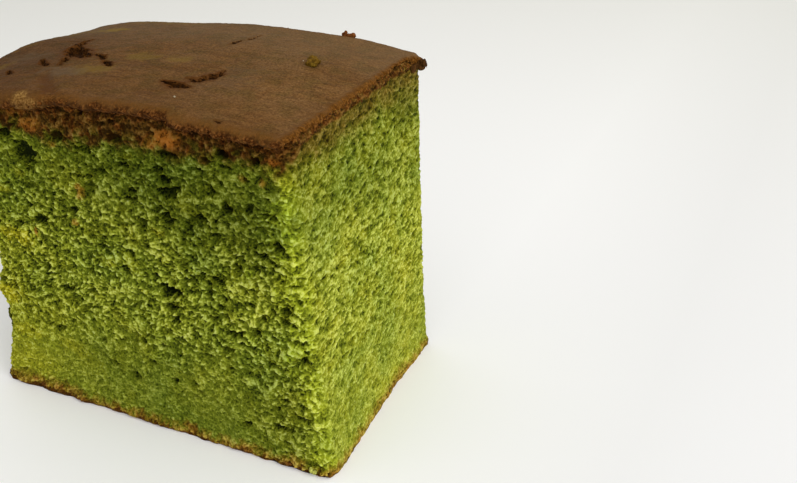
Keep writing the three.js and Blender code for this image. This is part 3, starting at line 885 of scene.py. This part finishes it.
def skin_sheet(shape):
    """Points of the skin laid over the top, with the way each faces and how far past an edge it is."""
    at = SimpleNamespace()
    r, half, left = shape.rim_radius, shape.depth / 2 + shape.lip, -shape.length / 2 - shape.lip
    reach_most, cut_most = 7 * MM, 4 * MM
    s = np.arange(left - reach_most, shape.length / 2 + cut_most, SKIN_STEP)
    t = np.arange(-half - reach_most, half + reach_most, SKIN_STEP)
    s, t = np.meshgrid(s, t)
    at.s, at.t = s, t

    # Knife-cut end: the skin turns down over a small edge, and hangs free at the back corner.
    at.free = smoothstep(t, OVERHANG[0] * MM, OVERHANG[1] * MM)
    most_turn = np.pi / 2 * (1 - 0.68 * at.free)
    at.over_cut = over_cut = s - (shape.length / 2 - CUT_ROLL)
    turn_cut = np.clip(over_cut / CUT_ROLL, 0, most_turn)
    beyond = np.maximum(over_cut - CUT_ROLL * most_turn, 0)
    swing = CUT_ROLL * np.sin(turn_cut) + beyond * np.cos(most_turn)
    x = np.where(over_cut > 0, shape.length / 2 - CUT_ROLL + swing, s)
    drop_cut = CUT_ROLL * (1 - np.cos(turn_cut)) + beyond * np.sin(most_turn)

    # Baked sides: it rolls over a rounded rim.
    corner = shape.corner + shape.lip
    core_x, core_y = np.maximum(x, left + corner), np.clip(t, -half + corner, half - corner)
    qx, qy = x - core_x, t - core_y
    away = np.maximum(np.hypot(qx, qy), 1e-9)
    qx, qy = qx / away, qy / away
    at.over = over = away - (corner - r)
    turn = np.clip(over / r, 0, np.pi / 2)
    rolled = np.where(over > 0, corner - r + r * np.sin(turn), away)
    at.x, at.y = core_x + qx * rolled, core_y + qy * rolled
    at.drop = r * (1 - np.cos(turn)) + np.maximum(over - r * np.pi / 2, 0) + drop_cut
    edge_x = np.clip(core_x + qx * corner, -shape.length / 2, shape.length / 2)
    edge_y = np.clip(core_y + qy * corner, -shape.depth / 2, shape.depth / 2)
    at.past = over - crust_reach(shape, edge_x, edge_y)
    at.to_back = smoothstep(t, -5 * MM, 20 * MM)
    ragged = 0.3 * noise(at.y, 0 * at.y, 2.3 * MM, 81) + 0.35 * noise(at.y, 0 * at.y, 0.8 * MM, 82)
    hanging = at.free * (1.3 + 0.9 * noise(t, 0 * at.y, 1.6 * MM, 83))
    at.past_cut = over_cut - (1.2 - 0.5 * at.to_back + ragged + hanging) * MM

    at.cut_turn = np.sin(turn_cut)
    nx = np.sin(turn) * qx * (1 - at.cut_turn) + at.cut_turn
    ny = np.sin(turn) * qy * (1 - at.cut_turn)
    nz = np.cos(turn) * (1 - at.cut_turn)
    size = np.sqrt(nx * nx + ny * ny + nz * nz)
    at.normal = np.stack([nx, ny, nz], -1) / size[..., None]
    at.rolled = np.maximum(smoothstep(over, 0, r), smoothstep(over_cut, -1.5 * MM, 0.3 * MM))
    at.brink = np.maximum(
        smoothstep(at.past, -1.6 * MM, -0.3 * MM), smoothstep(at.past_cut, -1.7 * MM, -0.4 * MM)
    )
    at.at_cut = smoothstep(at.past_cut - at.past, -0.6 * MM, 0.6 * MM)
    at.wander = fractal(s, t, 1.5 * MM, 31, 3)
    return at


def add_tears(at):
    """Adds how deep each point lies in a tear, and how red and dark it is near one; the dark is partly
    painted shade.
    """
    at.torn, at.redder, at.near_tear = (np.zeros(at.x.shape) for _ in range(3))
    for deep, route in TEARS:
        away = along_route(at.x, at.y, route) + 0.42 * at.wander + 0.25 * noise(at.s, at.t, 0.6 * MM, 42)
        dark = 0.6 + 0.32 * min(deep, 1.5)
        at.torn = np.maximum(at.torn, deep * MM * (1 - smoothstep(away, 0.3, 1.15)))
        at.redder = np.maximum(at.redder, min(deep, 1.0) * (1 - smoothstep(away, 0.9, 2.2)))
        at.near_tear = np.maximum(at.near_tear, dark * (1 - smoothstep(away, 0.1, 1.75)))


def skin_relief(at):
    """Height of the skin over its plain sheet, and of the granules of its broken edge."""
    s, t = at.s, at.t
    pressed = 0.55 * MM * at.dent + 0.35 * MM * (0.5 + 0.5 * noise(at.x, at.y, 14 * MM, 37))
    lifted = 0.16 * MM * at.redder * (at.torn < 0.02 * MM)
    wrinkle = 0.05 * MM * fractal(s * 0.3, t, 1.1 * MM, 34, 3) + 0.045 * MM * fractal(s, t, 0.9 * MM, 38, 2)
    shreds = cells(s, t, 0.75 * MM, 1100.0, 0.1 * MM, 0.5, 0.3 * MM, 40)
    wrinkle = wrinkle + (at.torn > 0.05 * MM) * 0.6 * shreds
    granules = 0.16 * MM * fractal(s, t, 0.7 * MM, 39, 2) - 0.1 * MM * np.abs(fractal(s, t, 1.2 * MM, 44, 2))
    crumbly = at.brink * (granules + 0.14 * MM * fractal(s, t, 1.9 * MM, 35, 2) - 0.1 * MM)
    dive = smoothstep(at.past, -0.15 * MM, 0.5 * MM)
    dive = np.maximum(dive, smoothstep(at.past_cut, -0.1 * MM, 0.4 * MM))
    raised = 0.25 * MM + lifted + wrinkle - at.torn - pressed * (1 - at.rolled) + crumbly
    raised = raised - 1.5 * MM * dive * (1 - 0.75 * at.free * (at.over_cut > 0))
    return np.where(at.over_cut > 0, raised - 0.2 * MM * at.cut_turn, raised), granules


def make_crust_skin(shape):
    """The browned skin: its tears, dents and wrinkles, and a crumbly edge that dives under the crumb."""
    at = skin_sheet(shape)
    add_tears(at)
    at.dent = 1 - smoothstep(along_route(at.x, at.y, DENT) + 0.25 * at.wander, 0.1, 1.6)
    raised, granules = skin_relief(at)
    z = top_at(shape, np.minimum(at.x, shape.length / 2), at.y) - at.drop
    places = np.stack([at.x + frame_shift(shape), at.y, z], -1) + raised[..., None] * at.normal
    keep = (at.past < 0.8 * MM) & (at.past_cut < 0.8 * MM)
    keep = keep & ((at.over < shape.rim_radius * 1.6) | (at.over_cut < CUT_ROLL * 1.6))

    tan = 1 - smoothstep(along_route(at.s, at.t, TAN_PATCH) + 0.6 * at.wander, 0.3, 1.5)
    broken = at.brink + 0.7 * at.brink * fractal(at.s, at.t, 1.3 * MM, 36, 3)
    glow_cut = smoothstep(at.past_cut, (-2.6 + 1.1 * at.to_back) * MM, -0.5 * MM)
    far_end = smoothstep(-at.x, 5 * MM, 35 * MM)
    far_end = far_end * (1 - 0.6 * smoothstep(at.y, 0, shape.depth / 2 + shape.lip))
    fields = {
        "broken": np.clip(broken, 0, 1) * (1 - at.at_cut) * (1 - 0.7 * tan),
        "glow": np.maximum(glow_cut, 0.5 * smoothstep(at.past, -3.6 * MM, -1.2 * MM)),
        "torn": at.near_tear,
        "redder": np.clip(at.redder + 0.6 * at.dent + 0.2 * smoothstep(-at.y, 5 * MM, 25 * MM), 0, 1),
        "tan": tan,
        "ochre": spots(OCHRE_PATCHES, at.x, at.y, 0.5 * at.wander),
        # Greyer patches: partly the skin's own tone, partly painted sheen.
        "greyed": spots(GREYED_PATCHES, at.x, at.y, 0.5 * at.wander),
        "dim": 0.3 * smoothstep(-at.x, -30 * MM, 0) + 0.7 * far_end,
        # Painted shade in the hollows between the granules of the broken edge.
        "pit": np.clip(-granules / (0.25 * MM), 0, 0.8) * at.brink * (1 - 0.6 * at.at_cut),
        # Painted sheen: the skin paler and greyer towards the back.
        "paler": 0.3 * smoothstep(at.y, 2 * MM, 20 * MM),
    }
    return grid_piece("top_crust", places, fields, keep)


# ---------------------------------------------------------------- loose crumbs


def nodule(rng, size, detail):
    """Corners and faces of one rough little lump."""
    bm = bmesh.new()
    bmesh.ops.create_icosphere(bm, subdivisions=detail, radius=1.0)
    points = np.array([v.co[:] for v in bm.verts])
    faces = np.array([[v.index for v in f.verts] for f in bm.faces])
    bm.free()
    offset = rng.uniform(0, 100, 3)
    lobes = noise(points[:, 0] + offset[0], points[:, 1] + offset[1], 0.55, 5)
    lobes = lobes + noise(points[:, 1] + offset[1], points[:, 2] + offset[2], 0.45, 6)
    points = points * (1 + 0.28 * lobes[:, None]) * rng.uniform(0.7, 1.15, 3)
    return points * size, faces


def crumb_piece(name, lumps, seed):
    """One mesh of many rough lumps, from their places, sizes and detail."""
    rng = np.random.default_rng(seed)
    points, faces, shades, count = [], [], [], 0
    for place, size, detail in lumps:
        corners, triangles = nodule(rng, size, detail)
        points.append(corners + np.array(place))
        faces.append(triangles + count)
        shades.append(np.full(len(corners), rng.uniform(0, 1)))
        count += len(corners)
    mesh = bpy.data.meshes.new(name)
    mesh.from_pydata(np.concatenate(points), [], np.concatenate(faces).tolist())
    mesh.polygons.foreach_set("use_smooth", np.ones(len(mesh.polygons), bool))
    shade = mesh.attributes.new("shade", "FLOAT", "POINT")
    shade.data.foreach_set("value", np.concatenate(shades).astype(np.float32))
    piece = bpy.data.objects.new(name, mesh)
    bpy.context.collection.objects.link(piece)
    return piece


def on_crust(shape, x, y, lift):
    """A place on the crust, in the frame, from a place in plan in millimetres."""
    z = top_at(shape, x * MM, y * MM) + lift * MM
    return (x * MM + frame_shift(shape), y * MM, float(z))


def on_floor(shape, x, y, lift):
    """A place over the floor, in the frame, from a place in plan in millimetres."""
    return (x * MM + frame_shift(shape), y * MM, lift * MM)


LOOSE_CRUMBS = (
    # name, seed, material with its light and dark colour, what the crumb lies on, and its lumps:
    # place in plan, lift, size, all in millimetres, and detail
    (
        "green_crumb_on_crust", 8, ("olive_crumb", (0.17, 0.105, 0.008), (0.17, 0.075, 0.008)), on_crust,
        ((30.8, 6.2, 0.7, 1.15, 4), (31.6, 5.3, 0.6, 0.75, 3)),
    ),
    (
        "brown_crumb_on_crust", 9, ("brown_crumb", (0.22, 0.07, 0.012), (0.16, 0.05, 0.01)), on_crust,
        ((27.0, 26.6, -0.1, 0.7, 4), (28.1, 26.7, -0.1, 0.75, 4), (29.0, 26.8, 0.0, 0.5, 3)),
    ),
    (
        "crumbs_under_flap", 12, ("dark_crumb", (0.10, 0.042, 0.008), (0.06, 0.024, 0.004)), on_crust,
        (
            (44.9, 25.6, -1.5, 0.9, 3), (45.6, 25.2, -1.3, 0.9, 3), (46.3, 24.8, -1.0, 0.85, 3),
            (46.9, 24.7, -1.2, 0.8, 3), (45.0, 24.4, -2.0, 0.9, 3), (44.8, 25.8, -2.4, 0.7, 3),
            (46.4, 24.6, -2.0, 0.7, 3), (44.9, 23.4, -2.4, 0.7, 3),
        ),
    ),
    (
        "green_crumb_at_foot", 11, ("pale_green_crumb", (0.56, 0.58, 0.12), (0.46, 0.48, 0.08)), on_floor,
        ((42.9, -27.1, 1.5, 0.75, 3), (43.6, -27.0, 1.2, 0.5, 3)),
    ),
    (
        "sugar_specks", 10, ("pale_speck", (0.8, 0.74, 0.6), (0.7, 0.6, 0.4)), on_crust,
        ((17.1, -20.6, 0.15, 0.22, 3), (28.1, 7.0, 0.15, 0.14, 3)),
    ),
)


def rim_lumps(shape, rng, count):
    """Places of the broken crumbs along the rim of the crust, front, cut and the hidden sides."""
    run, path, _ = outline(shape)
    lumps = []
    for _ in range(count):
        u = rng.uniform(0, run[-1])
        x0, y0 = np.interp(u, run, path[:, 0]), np.interp(u, run, path[:, 1])
        if x0 > shape.length / 2 - 0.8 * MM:  # on the knife cut
            drop = rng.uniform(0.5, 2.2) * MM
        else:
            edge = reach_to_drop(shape, crust_reach(shape, x0, y0))
            drop = edge + rng.normal(0.4, 0.7) * MM
        drop = max(drop, 0.1 * MM)
        z = top_at(shape, x0, y0) - drop
        x, y = wall_place(shape, x0, y0, z, drop)
        nx, ny = facing(shape, x0, y0)
        out = rng.uniform(-0.25, 0.1) * MM
        size = 0.17 * MM * np.exp(rng.normal(0, 0.35))
        place = (float(x + nx * out) + frame_shift(shape), float(y + ny * out), float(z))
        lumps.append((place, size, 2))
    return lumps


# ---------------------------------------------------------------- materials


class Nodes:
    """Short names for building a material's node tree."""

    def __init__(self, name):
        self.material = bpy.data.materials.new(name)
        self.material.use_nodes = True
        self.tree = self.material.node_tree
        self.shader = self.tree.nodes["Principled BSDF"]

    def add(self, kind, **values):
        node = self.tree.nodes.new(kind)
        for key, value in values.items():
            if hasattr(node, key):
                setattr(node, key, value)
            else:
                node.inputs[key.replace("_", " ")].default_value = value
        return node

    def join(self, source, target):
        self.tree.links.new(source, target)

    def field(self, name):
        return self.add("ShaderNodeAttribute", attribute_name=name).outputs["Fac"]

    def place(self, scale=(1, 1, 1)):
        mapping = self.add("ShaderNodeMapping")
        mapping.inputs["Scale"].default_value = scale
        self.join(self.add("ShaderNodeTexCoord").outputs["Object"], mapping.inputs["Vector"])
        return mapping.outputs["Vector"]

    def voronoi(self, size):
        """Distance from the middle of warped cells."""
        wander = self.add("ShaderNodeTexNoise", Scale=0.8 / size, Detail=1.0)
        self.join(self.place(), wander.inputs["Vector"])
        warped = self.add("ShaderNodeVectorMath", operation="MULTIPLY_ADD")
        self.join(wander.outputs["Color"], warped.inputs[0])
        warped.inputs[1].default_value = (1.6 * size, 1.6 * size, 1.2 * size)
        self.join(self.place(), warped.inputs[2])
        node = self.add("ShaderNodeTexVoronoi", Scale=1.0 / size)
        self.join(warped.outputs[0], node.inputs["Vector"])
        return node.outputs["Distance"]

    def noise(self, size, detail=3.0, scale=(1, 1, 1), distortion=0.0):
        node = self.add("ShaderNodeTexNoise", Scale=1.0 / size, Detail=detail, Distortion=distortion)
        self.join(self.place(scale), node.inputs["Vector"])
        return node.outputs["Fac"]

    def ramp(self, source, *stops):
        node = self.add("ShaderNodeValToRGB")
        elements = node.color_ramp.elements
        while len(elements) < len(stops):
            elements.new(0.5)
        for element, (position, colour) in zip(elements, stops):
            element.position = position
            element.color = (*colour, 1) if len(colour) == 3 else colour
        self.join(source, node.inputs["Fac"])
        return node.outputs["Color"]

    def tones(self, source, stops, *colours):
        """A ramp from its places and the colour at each."""
        return self.ramp(source, *zip(stops, colours))

    def range(self, source, low, high, out_low=0.0, out_high=1.0):
        node = self.add("ShaderNodeMapRange")
        limits = {"From Min": low, "From Max": high, "To Min": out_low, "To Max": out_high}
        for socket, value in limits.items():
            node.inputs[socket].default_value = value
        self.join(source, node.inputs["Value"])
        return node.outputs["Result"]

    def mix(self, factor, a, b, blend="MIX"):
        node = self.add("ShaderNodeMix", data_type="RGBA", blend_type=blend)
        for socket, value in ((node.inputs[0], factor), (node.inputs[6], a), (node.inputs[7], b)):
            if isinstance(value, bpy.types.NodeSocket):
                self.join(value, socket)
            elif isinstance(value, (int, float)):
                socket.default_value = value
            else:
                socket.default_value = (*value, 1)
        return node.outputs[2]

    def math(self, operation, a, b):
        node = self.add("ShaderNodeMath", operation=operation)
        for socket, value in zip(node.inputs, (a, b)):
            if isinstance(value, bpy.types.NodeSocket):
                self.join(value, socket)
            else:
                socket.default_value = value
        return node.outputs[0]

    def bump(self, source, distance, strength=1.0, under=None):
        node = self.add("ShaderNodeBump", Distance=distance, Strength=strength)
        self.join(source, node.inputs["Height"])
        if under is not None:
            self.join(under, node.inputs["Normal"])
        return node.outputs["Normal"]

    def finish(self, colour, roughness, specular, normal):
        """Joins colour and normal to the shader, and sets how it shines."""
        self.join(colour, self.shader.inputs["Base Color"])
        self.shader.inputs["Roughness"].default_value = roughness
        self.shader.inputs["Specular IOR Level"].default_value = specular
        self.join(normal, self.shader.inputs["Normal"])


def crumb_material(crumb):
    n = Nodes("green_crumb")
    pit = n.field("pit")
    grain = n.noise(0.42 * MM, 1.0)
    granules = n.range(n.voronoi(0.62 * MM), 0.12, 0.62, 1.0, 0.0)
    micro = n.math("ADD", n.range(grain, 0.3, 0.7, 0.11, -0.11), n.range(granules, 0.0, 1.0, -0.17, 0.16))
    depth = n.math("ADD", pit, micro)

    # Green crumb: yellower patches, partly painted light; painted light by the cut's edge; painted glints on
    # the tips; and painted shade where the shade field says.
    # From ridge to pit: the crumb's own tones, with painted shade in the pits, near black in deep hollows.
    deepest = (0.008, 0.011, 0.002)
    stops = (0.0, crumb.ridge), (0.2, crumb.wall), (0.5, crumb.body), (0.92, crumb.pit), (1.0, deepest)
    green = n.ramp(depth, *stops)
    sunny = n.ramp(depth, (0.0, (0.64, 0.62, 0.11)), (0.3, crumb.sunny), (0.95, crumb.pit))
    yellowing = n.math("ADD", n.range(n.noise(5 * MM, 5.0), 0.48, 0.75, 0.0, 0.5), n.field("sunny"))
    green = n.mix(yellowing, green, sunny)
    bright = n.ramp(depth, (0.0, (0.58, 0.66, 0.10)), (0.3, (0.40, 0.47, 0.02)), (0.95, crumb.pit))
    green = n.mix(n.field("bright"), green, bright)
    # Painted glints: pale specks on the ridges.
    tips = n.range(n.noise(0.42 * MM, 2.0), 0.60, 0.70)
    green = n.mix(n.math("MULTIPLY", tips, n.range(pit, 0.2, 0.5, 0.75, 0.0)), green, (0.60, 0.62, 0.19))
    patches = n.noise(10 * MM, 4.0)
    green = n.mix(n.range(patches, 0.4, 0.65, 0.0, 0.7), green, (0.66, 0.78, 0.9), "MULTIPLY")
    green = n.mix(n.field("shaded"), green, (0.485, 0.515, 0.485), "MULTIPLY")

    # Browned crumb, each tone as colours from its tips to its pits.
    brown = n.tones(depth, (0.0, 0.3, 0.75), (0.175, 0.092, 0.020), crumb.browned, (0.022, 0.010, 0.001))
    red = n.tones(
        depth, (0.0, 0.3, 0.75), (0.175, 0.070, 0.012), (0.085, 0.026, 0.003), (0.020, 0.006, 0.0)
    )
    seared = n.tones(
        depth, (0.0, 0.28, 0.7), (0.15, 0.048, 0.008), (0.060, 0.016, 0.002), (0.014, 0.004, 0.0)
    )
    toast = n.tones(depth, (0.0, 0.4, 0.85), (0.31, 0.115, 0.018), crumb.toasted, (0.04, 0.012, 0.001))
    golden = n.tones(
        depth, (0.1, 0.4, 0.75), (0.46, 0.33, 0.06), (0.21, 0.13, 0.010), (0.05, 0.026, 0.002)
    )
    orange = n.tones(
        depth, (0.1, 0.4, 0.75), (0.36, 0.18, 0.03), (0.17, 0.072, 0.008), (0.04, 0.015, 0.002)
    )
    foot = n.tones(depth, (0.0, 0.35, 0.9), (0.17, 0.070, 0.013), (0.08, 0.030, 0.004), (0.02, 0.007, 0.001))
    brown = n.mix(n.range(n.noise(1.6 * MM, 5.0), 0.46, 0.64), brown, red)
    # Just below the skin's edge: darker baked crumb, with painted shade under the edge.
    brown = n.mix(n.field("seared"), brown, seared)
    golden = n.mix(n.range(n.noise(3 * MM, 3.0), 0.48, 0.6), golden, orange)

    colour = n.mix(n.field("browned"), green, brown)
    base = n.field("base")
    for low, high, most in ((0.05, 0.55, 0.6), (0.55, 0.85, 0.9)):
        colour = n.mix(n.range(base, low, high, 0.0, most), colour, golden)
    colour = n.mix(n.range(base, 0.93, 1.0), colour, foot)
    colour = n.mix(n.field("toasted"), colour, toast)
    normal = n.bump(granules, -0.16 * MM, 0.6, n.bump(grain, 0.22 * MM, 0.9))
    n.finish(colour, 0.85, 0.03, normal)
    n.shader.inputs["Subsurface Weight"].default_value = 0.35
    n.shader.inputs["Subsurface Radius"].default_value = (1.0, 0.9, 0.25)
    n.shader.inputs["Subsurface Scale"].default_value = 1.1 * MM
    return n.material


# Darkest brown of the broken edge: burnt crumb, with painted shade in the gaps between its granules.
CHARRED_AND_SHADED = (0.030, 0.009, 0.001)


def crust_material(crust):
    n = Nodes("baked_crust")
    grain = n.noise(0.45 * MM, 3.0)
    fibres = n.noise(0.55 * MM, 3.0, (0.3, 1, 1), 0.6)

    # Smooth skin: streaks and blotches, then fine darkening, then the fields that tint it.
    skin = tuple(crust.skin)
    for noise_field, low, high, most, tint in (
        (n.noise(1.3 * MM, 5.0, (0.2, 1, 1), 0.9), 0.45, 0.70, 0.5, crust.dark),
        (n.noise(9 * MM, 4.0), 0.42, 0.68, 0.4, crust.pale),
        (n.noise(14 * MM, 2.0), 0.45, 0.7, 0.25, crust.dark),
        (n.noise(4 * MM, 3.0), 0.45, 0.65, 0.55, (0.145, 0.088, 0.021)),
    ):
        skin = n.mix(n.range(noise_field, low, high, 0.0, most), skin, tint)
    for noise_field, low, high, most, tint in (
        (fibres, 0.5, 0.68, 0.45, (0.68, 0.60, 0.52)),
        (grain, 0.35, 0.65, 1.0, (0.56, 0.52, 0.48)),
        (n.noise(0.22 * MM, 1.0), 0.3, 0.7, 1.0, (0.64, 0.62, 0.60)),
    ):
        skin = n.mix(n.range(noise_field, low, high, 0.0, most), skin, tint, "MULTIPLY")
    skin = n.mix(n.field("dim"), skin, (0.62, 0.57, 0.54), "MULTIPLY")
    # Among these, the paler back is painted sheen, and the greyer patches partly so.
    for field, tint in (
        ("paler", (0.17, 0.115, 0.060)),
        ("ochre", (0.19, 0.115, 0.018)),
        ("greyed", (0.115, 0.078, 0.042)),
        ("redder", (0.085, 0.030, 0.006)),
    ):
        skin = n.mix(n.field(field), skin, tint)

    # Broken places: the tan patch, the glow by an edge, the crumbly edge and the tears.
    tan = n.tones(grain, (0.36, 0.5, 0.66), (0.13, 0.060, 0.013), (0.24, 0.128, 0.034), (0.38, 0.225, 0.068))
    glow = n.tones(
        grain, (0.36, 0.5, 0.66), (0.06, 0.021, 0.002), (0.11, 0.040, 0.004), (0.19, 0.078, 0.014)
    )
    broken = n.tones(grain, (0.38, 0.5, 0.64), CHARRED_AND_SHADED, crust.broken, (0.20, 0.078, 0.018))
    cracks = n.noise(1.2 * MM, 4.0, (0.7, 1, 1), 0.8)
    broken = n.mix(n.range(cracks, 0.5, 0.56, 0.0, 0.5), broken, CHARRED_AND_SHADED)
    colour = n.mix(n.field("tan"), skin, tan)
    colour = n.mix(n.field("glow"), colour, glow)
    colour = n.mix(n.field("broken"), colour, broken)
    # Painted shade between the granules of the broken edge.
    colour = n.mix(n.field("pit"), colour, (0.022, 0.007, 0.001))
    # Tears: dark crumb, with painted shade near black in their middles.
    ragged = n.range(n.noise(0.8 * MM, 5.0, (0.4, 1, 1), 0.4), 0.25, 0.75, -0.45, 0.45)
    jagged = n.math("ADD", n.field("torn"), ragged)
    shreds = n.tones(
        fibres, (0.38, 0.6, 0.72), (0.007, 0.002, 0.0), (0.05, 0.017, 0.002), (0.12, 0.05, 0.009)
    )
    colour = n.mix(n.range(jagged, 0.40, 0.52), colour, shreds)
    n.finish(colour, 0.7, 0.03, n.bump(fibres, 0.10 * MM, 0.5, n.bump(grain, 0.14 * MM, 0.8)))
    return n.material


def loose_material(name, light, dark):
    n = Nodes(name)
    grain = n.noise(0.5 * MM, 3.0)
    tone = n.mix(n.field("shade"), light, dark)
    colour = n.mix(n.range(grain, 0.35, 0.7), tone, (0.35, 0.32, 0.25), "MULTIPLY")
    n.finish(colour, 0.7, 0.06, n.bump(grain, 0.12 * MM, 0.6))
    return n.material


def floor_material(stage):
    n = Nodes("pale_floor")
    floor = n.mix(n.range(n.noise(0.4, 2.0), 0.3, 0.7, 0.0, 0.06), tuple(stage.floor), (0.7, 0.7, 0.68))
    # Painted shade: the floor darker to the right of the block, towards the back and far to the left.
    split = n.add("ShaderNodeSeparateXYZ")
    n.join(n.place(), split.inputs[0])
    for axis, start, stop, most, tint in (
        ("X", 0.045, 0.10, 1.0, (0.85, 0.85, 0.85)),
        ("Y", 0.0, 0.6, 1.0, (0.82, 0.82, 0.75)),
        ("X", -0.1, -0.6, 0.5, (0.68, 0.68, 0.60)),
    ):
        floor = n.mix(n.range(split.outputs[axis], start, stop, 0.0, most), floor, tint)
    n.join(floor, n.shader.inputs["Base Color"])
    n.shader.inputs["Roughness"].default_value = 0.7
    return n.material


# ---------------------------------------------------------------- operators


class CASTELLA_OT_crumb_walls(Operator):
    """Builds the open crumb walls and the browned base."""

    bl_idname = "castella.crumb_walls"
    bl_label = "Crumb Walls"

    def execute(self, context):
        shape, crumb = context.scene.castella_shape, context.scene.castella_crumb
        beds = bubble_beds(shape, np.random.default_rng(shape.seed))
        material = crumb_material(crumb)
        for wall in WALLS:
            dress(make_wall(shape, crumb, *wall, beds), material)
        dress(make_base(shape), material)
        return {"FINISHED"}


class CASTELLA_OT_top_crust(Operator):
    """Builds the browned top crust with its rolled, broken rim and its tears."""

    bl_idname = "castella.top_crust"
    bl_label = "Top Crust"

    def execute(self, context):
        dress(make_crust_skin(context.scene.castella_shape), crust_material(context.scene.castella_crust))
        return {"FINISHED"}


class CASTELLA_OT_loose_crumbs(Operator):
    """Builds the broken crumbs along the rim and the few that lie on the crust and at the foot."""

    bl_idname = "castella.loose_crumbs"
    bl_label = "Loose Crumbs"

    def execute(self, context):
        shape = context.scene.castella_shape
        rng = np.random.default_rng(shape.seed + 1)
        rim = crumb_piece("rim_crumbs", rim_lumps(shape, rng, 900), 7)
        dress(rim, loose_material("toasted_crumbs", (0.24, 0.085, 0.014), (0.07, 0.026, 0.005)))
        for name, seed, look, ground, lumps in LOOSE_CRUMBS:
            placed = [(ground(shape, x, y, lift), size * MM, detail) for x, y, lift, size, detail in lumps]
            dress(crumb_piece(name, placed, seed), loose_material(*look))
        return {"FINISHED"}


FLOOR_WIDTH = 8
LIGHTS = (
    # name, place and size in metres, and the setting of its power
    ("key_light", (0.85, -0.3, 0.62), 0.8, "key_power"),
    ("fill_light", (0.1, -1.0, 0.6), 0.6, "fill_power"),
)
LIT_PLACE = Vector((0, 0, 0.04))
SKY_COLOUR = (1.0, 0.99, 0.97, 1)


class CASTELLA_OT_stage(Operator):
    """Builds the pale floor, the soft lights and the camera."""

    bl_idname = "castella.stage"
    bl_label = "Stage"

    def execute(self, context):
        shape, stage = context.scene.castella_shape, context.scene.castella_stage
        bpy.ops.mesh.primitive_plane_add(size=FLOOR_WIDTH)
        floor = context.active_object
        floor.name = "floor"
        floor.data.materials.append(floor_material(stage))
        for name, place, size, power in LIGHTS:
            add_area_light(name, place, size, getattr(stage, power))
        world = bpy.data.worlds.new("soft_sky")
        context.scene.world = world
        world.use_nodes = True
        background = world.node_tree.nodes["Background"]
        background.inputs["Color"].default_value = SKY_COLOUR
        background.inputs["Strength"].default_value = stage.sky
        context.scene.view_settings.view_transform = "Standard"
        add_camera(shape)
        return {"FINISHED"}


def add_area_light(name, place, size, power):
    light = bpy.data.lights.new(name, "AREA")
    light.size = size
    light.energy = power
    lamp = bpy.data.objects.new(name, light)
    lamp.location = place
    lamp.rotation_euler = (LIT_PLACE - Vector(place)).to_track_quat("-Z", "Y").to_euler()
    bpy.context.collection.objects.link(lamp)


def add_camera(shape):
    data = bpy.data.cameras.new("camera")
    data.sensor_width = SENSOR_WIDTH
    data.sensor_fit = "HORIZONTAL"
    data.lens = LENS
    data.clip_start = 0.01
    camera = bpy.data.objects.new("camera", data)
    right, down, ahead = (Vector(column) for column in CAMERA_AXES.T)
    turn = Matrix((right, -down, -ahead)).transposed().to_4x4()
    corner = Vector((shape.length / 2 + frame_shift(shape), -shape.depth / 2, 0))
    place = corner + Vector(CAMERA_FROM_CORNER)
    camera.matrix_world = Matrix.Translation(place) @ turn
    bpy.context.collection.objects.link(camera)
    bpy.context.scene.camera = camera


class CASTELLA_PT_panel(Panel):
    """Lists the block's settings and its building steps."""

    bl_label = "Castella Block"
    bl_idname = "CASTELLA_PT_panel"
    bl_space_type = "VIEW_3D"
    bl_region_type = "UI"
    bl_category = "Castella"

    def draw(self, context):
        layout = self.layout
        for name, _ in SETTINGS:
            group = getattr(context.scene, name)
            box = layout.box()
            for key in group.__annotations__:
                box.prop(group, key)
        for operator in OPERATORS:
            layout.operator(operator.bl_idname)


SETTINGS = (
    ("castella_shape", BlockShape),
    ("castella_crumb", CrumbLook),
    ("castella_crust", CrustLook),
    ("castella_stage", StageLook),
)
OPERATORS = (CASTELLA_OT_crumb_walls, CASTELLA_OT_top_crust, CASTELLA_OT_loose_crumbs, CASTELLA_OT_stage)


def register():
    for _, group in SETTINGS:
        bpy.utils.register_class(group)
    for cls in (*OPERATORS, CASTELLA_PT_panel):
        bpy.utils.register_class(cls)
    for name, group in SETTINGS:
        setattr(bpy.types.Scene, name, PointerProperty(type=group))


def unregister():
    for name, _ in SETTINGS:
        delattr(bpy.types.Scene, name)
    for cls in (CASTELLA_PT_panel, *OPERATORS):
        bpy.utils.unregister_class(cls)
    for _, group in SETTINGS:
        bpy.utils.unregister_class(group)


def main():
    register()
    bpy.ops.castella.stage()
    bpy.ops.castella.crumb_walls()
    bpy.ops.castella.top_crust()
    bpy.ops.castella.loose_crumbs()
    bpy.context.view_layer.update()


if __name__ == "__main__":
    main()
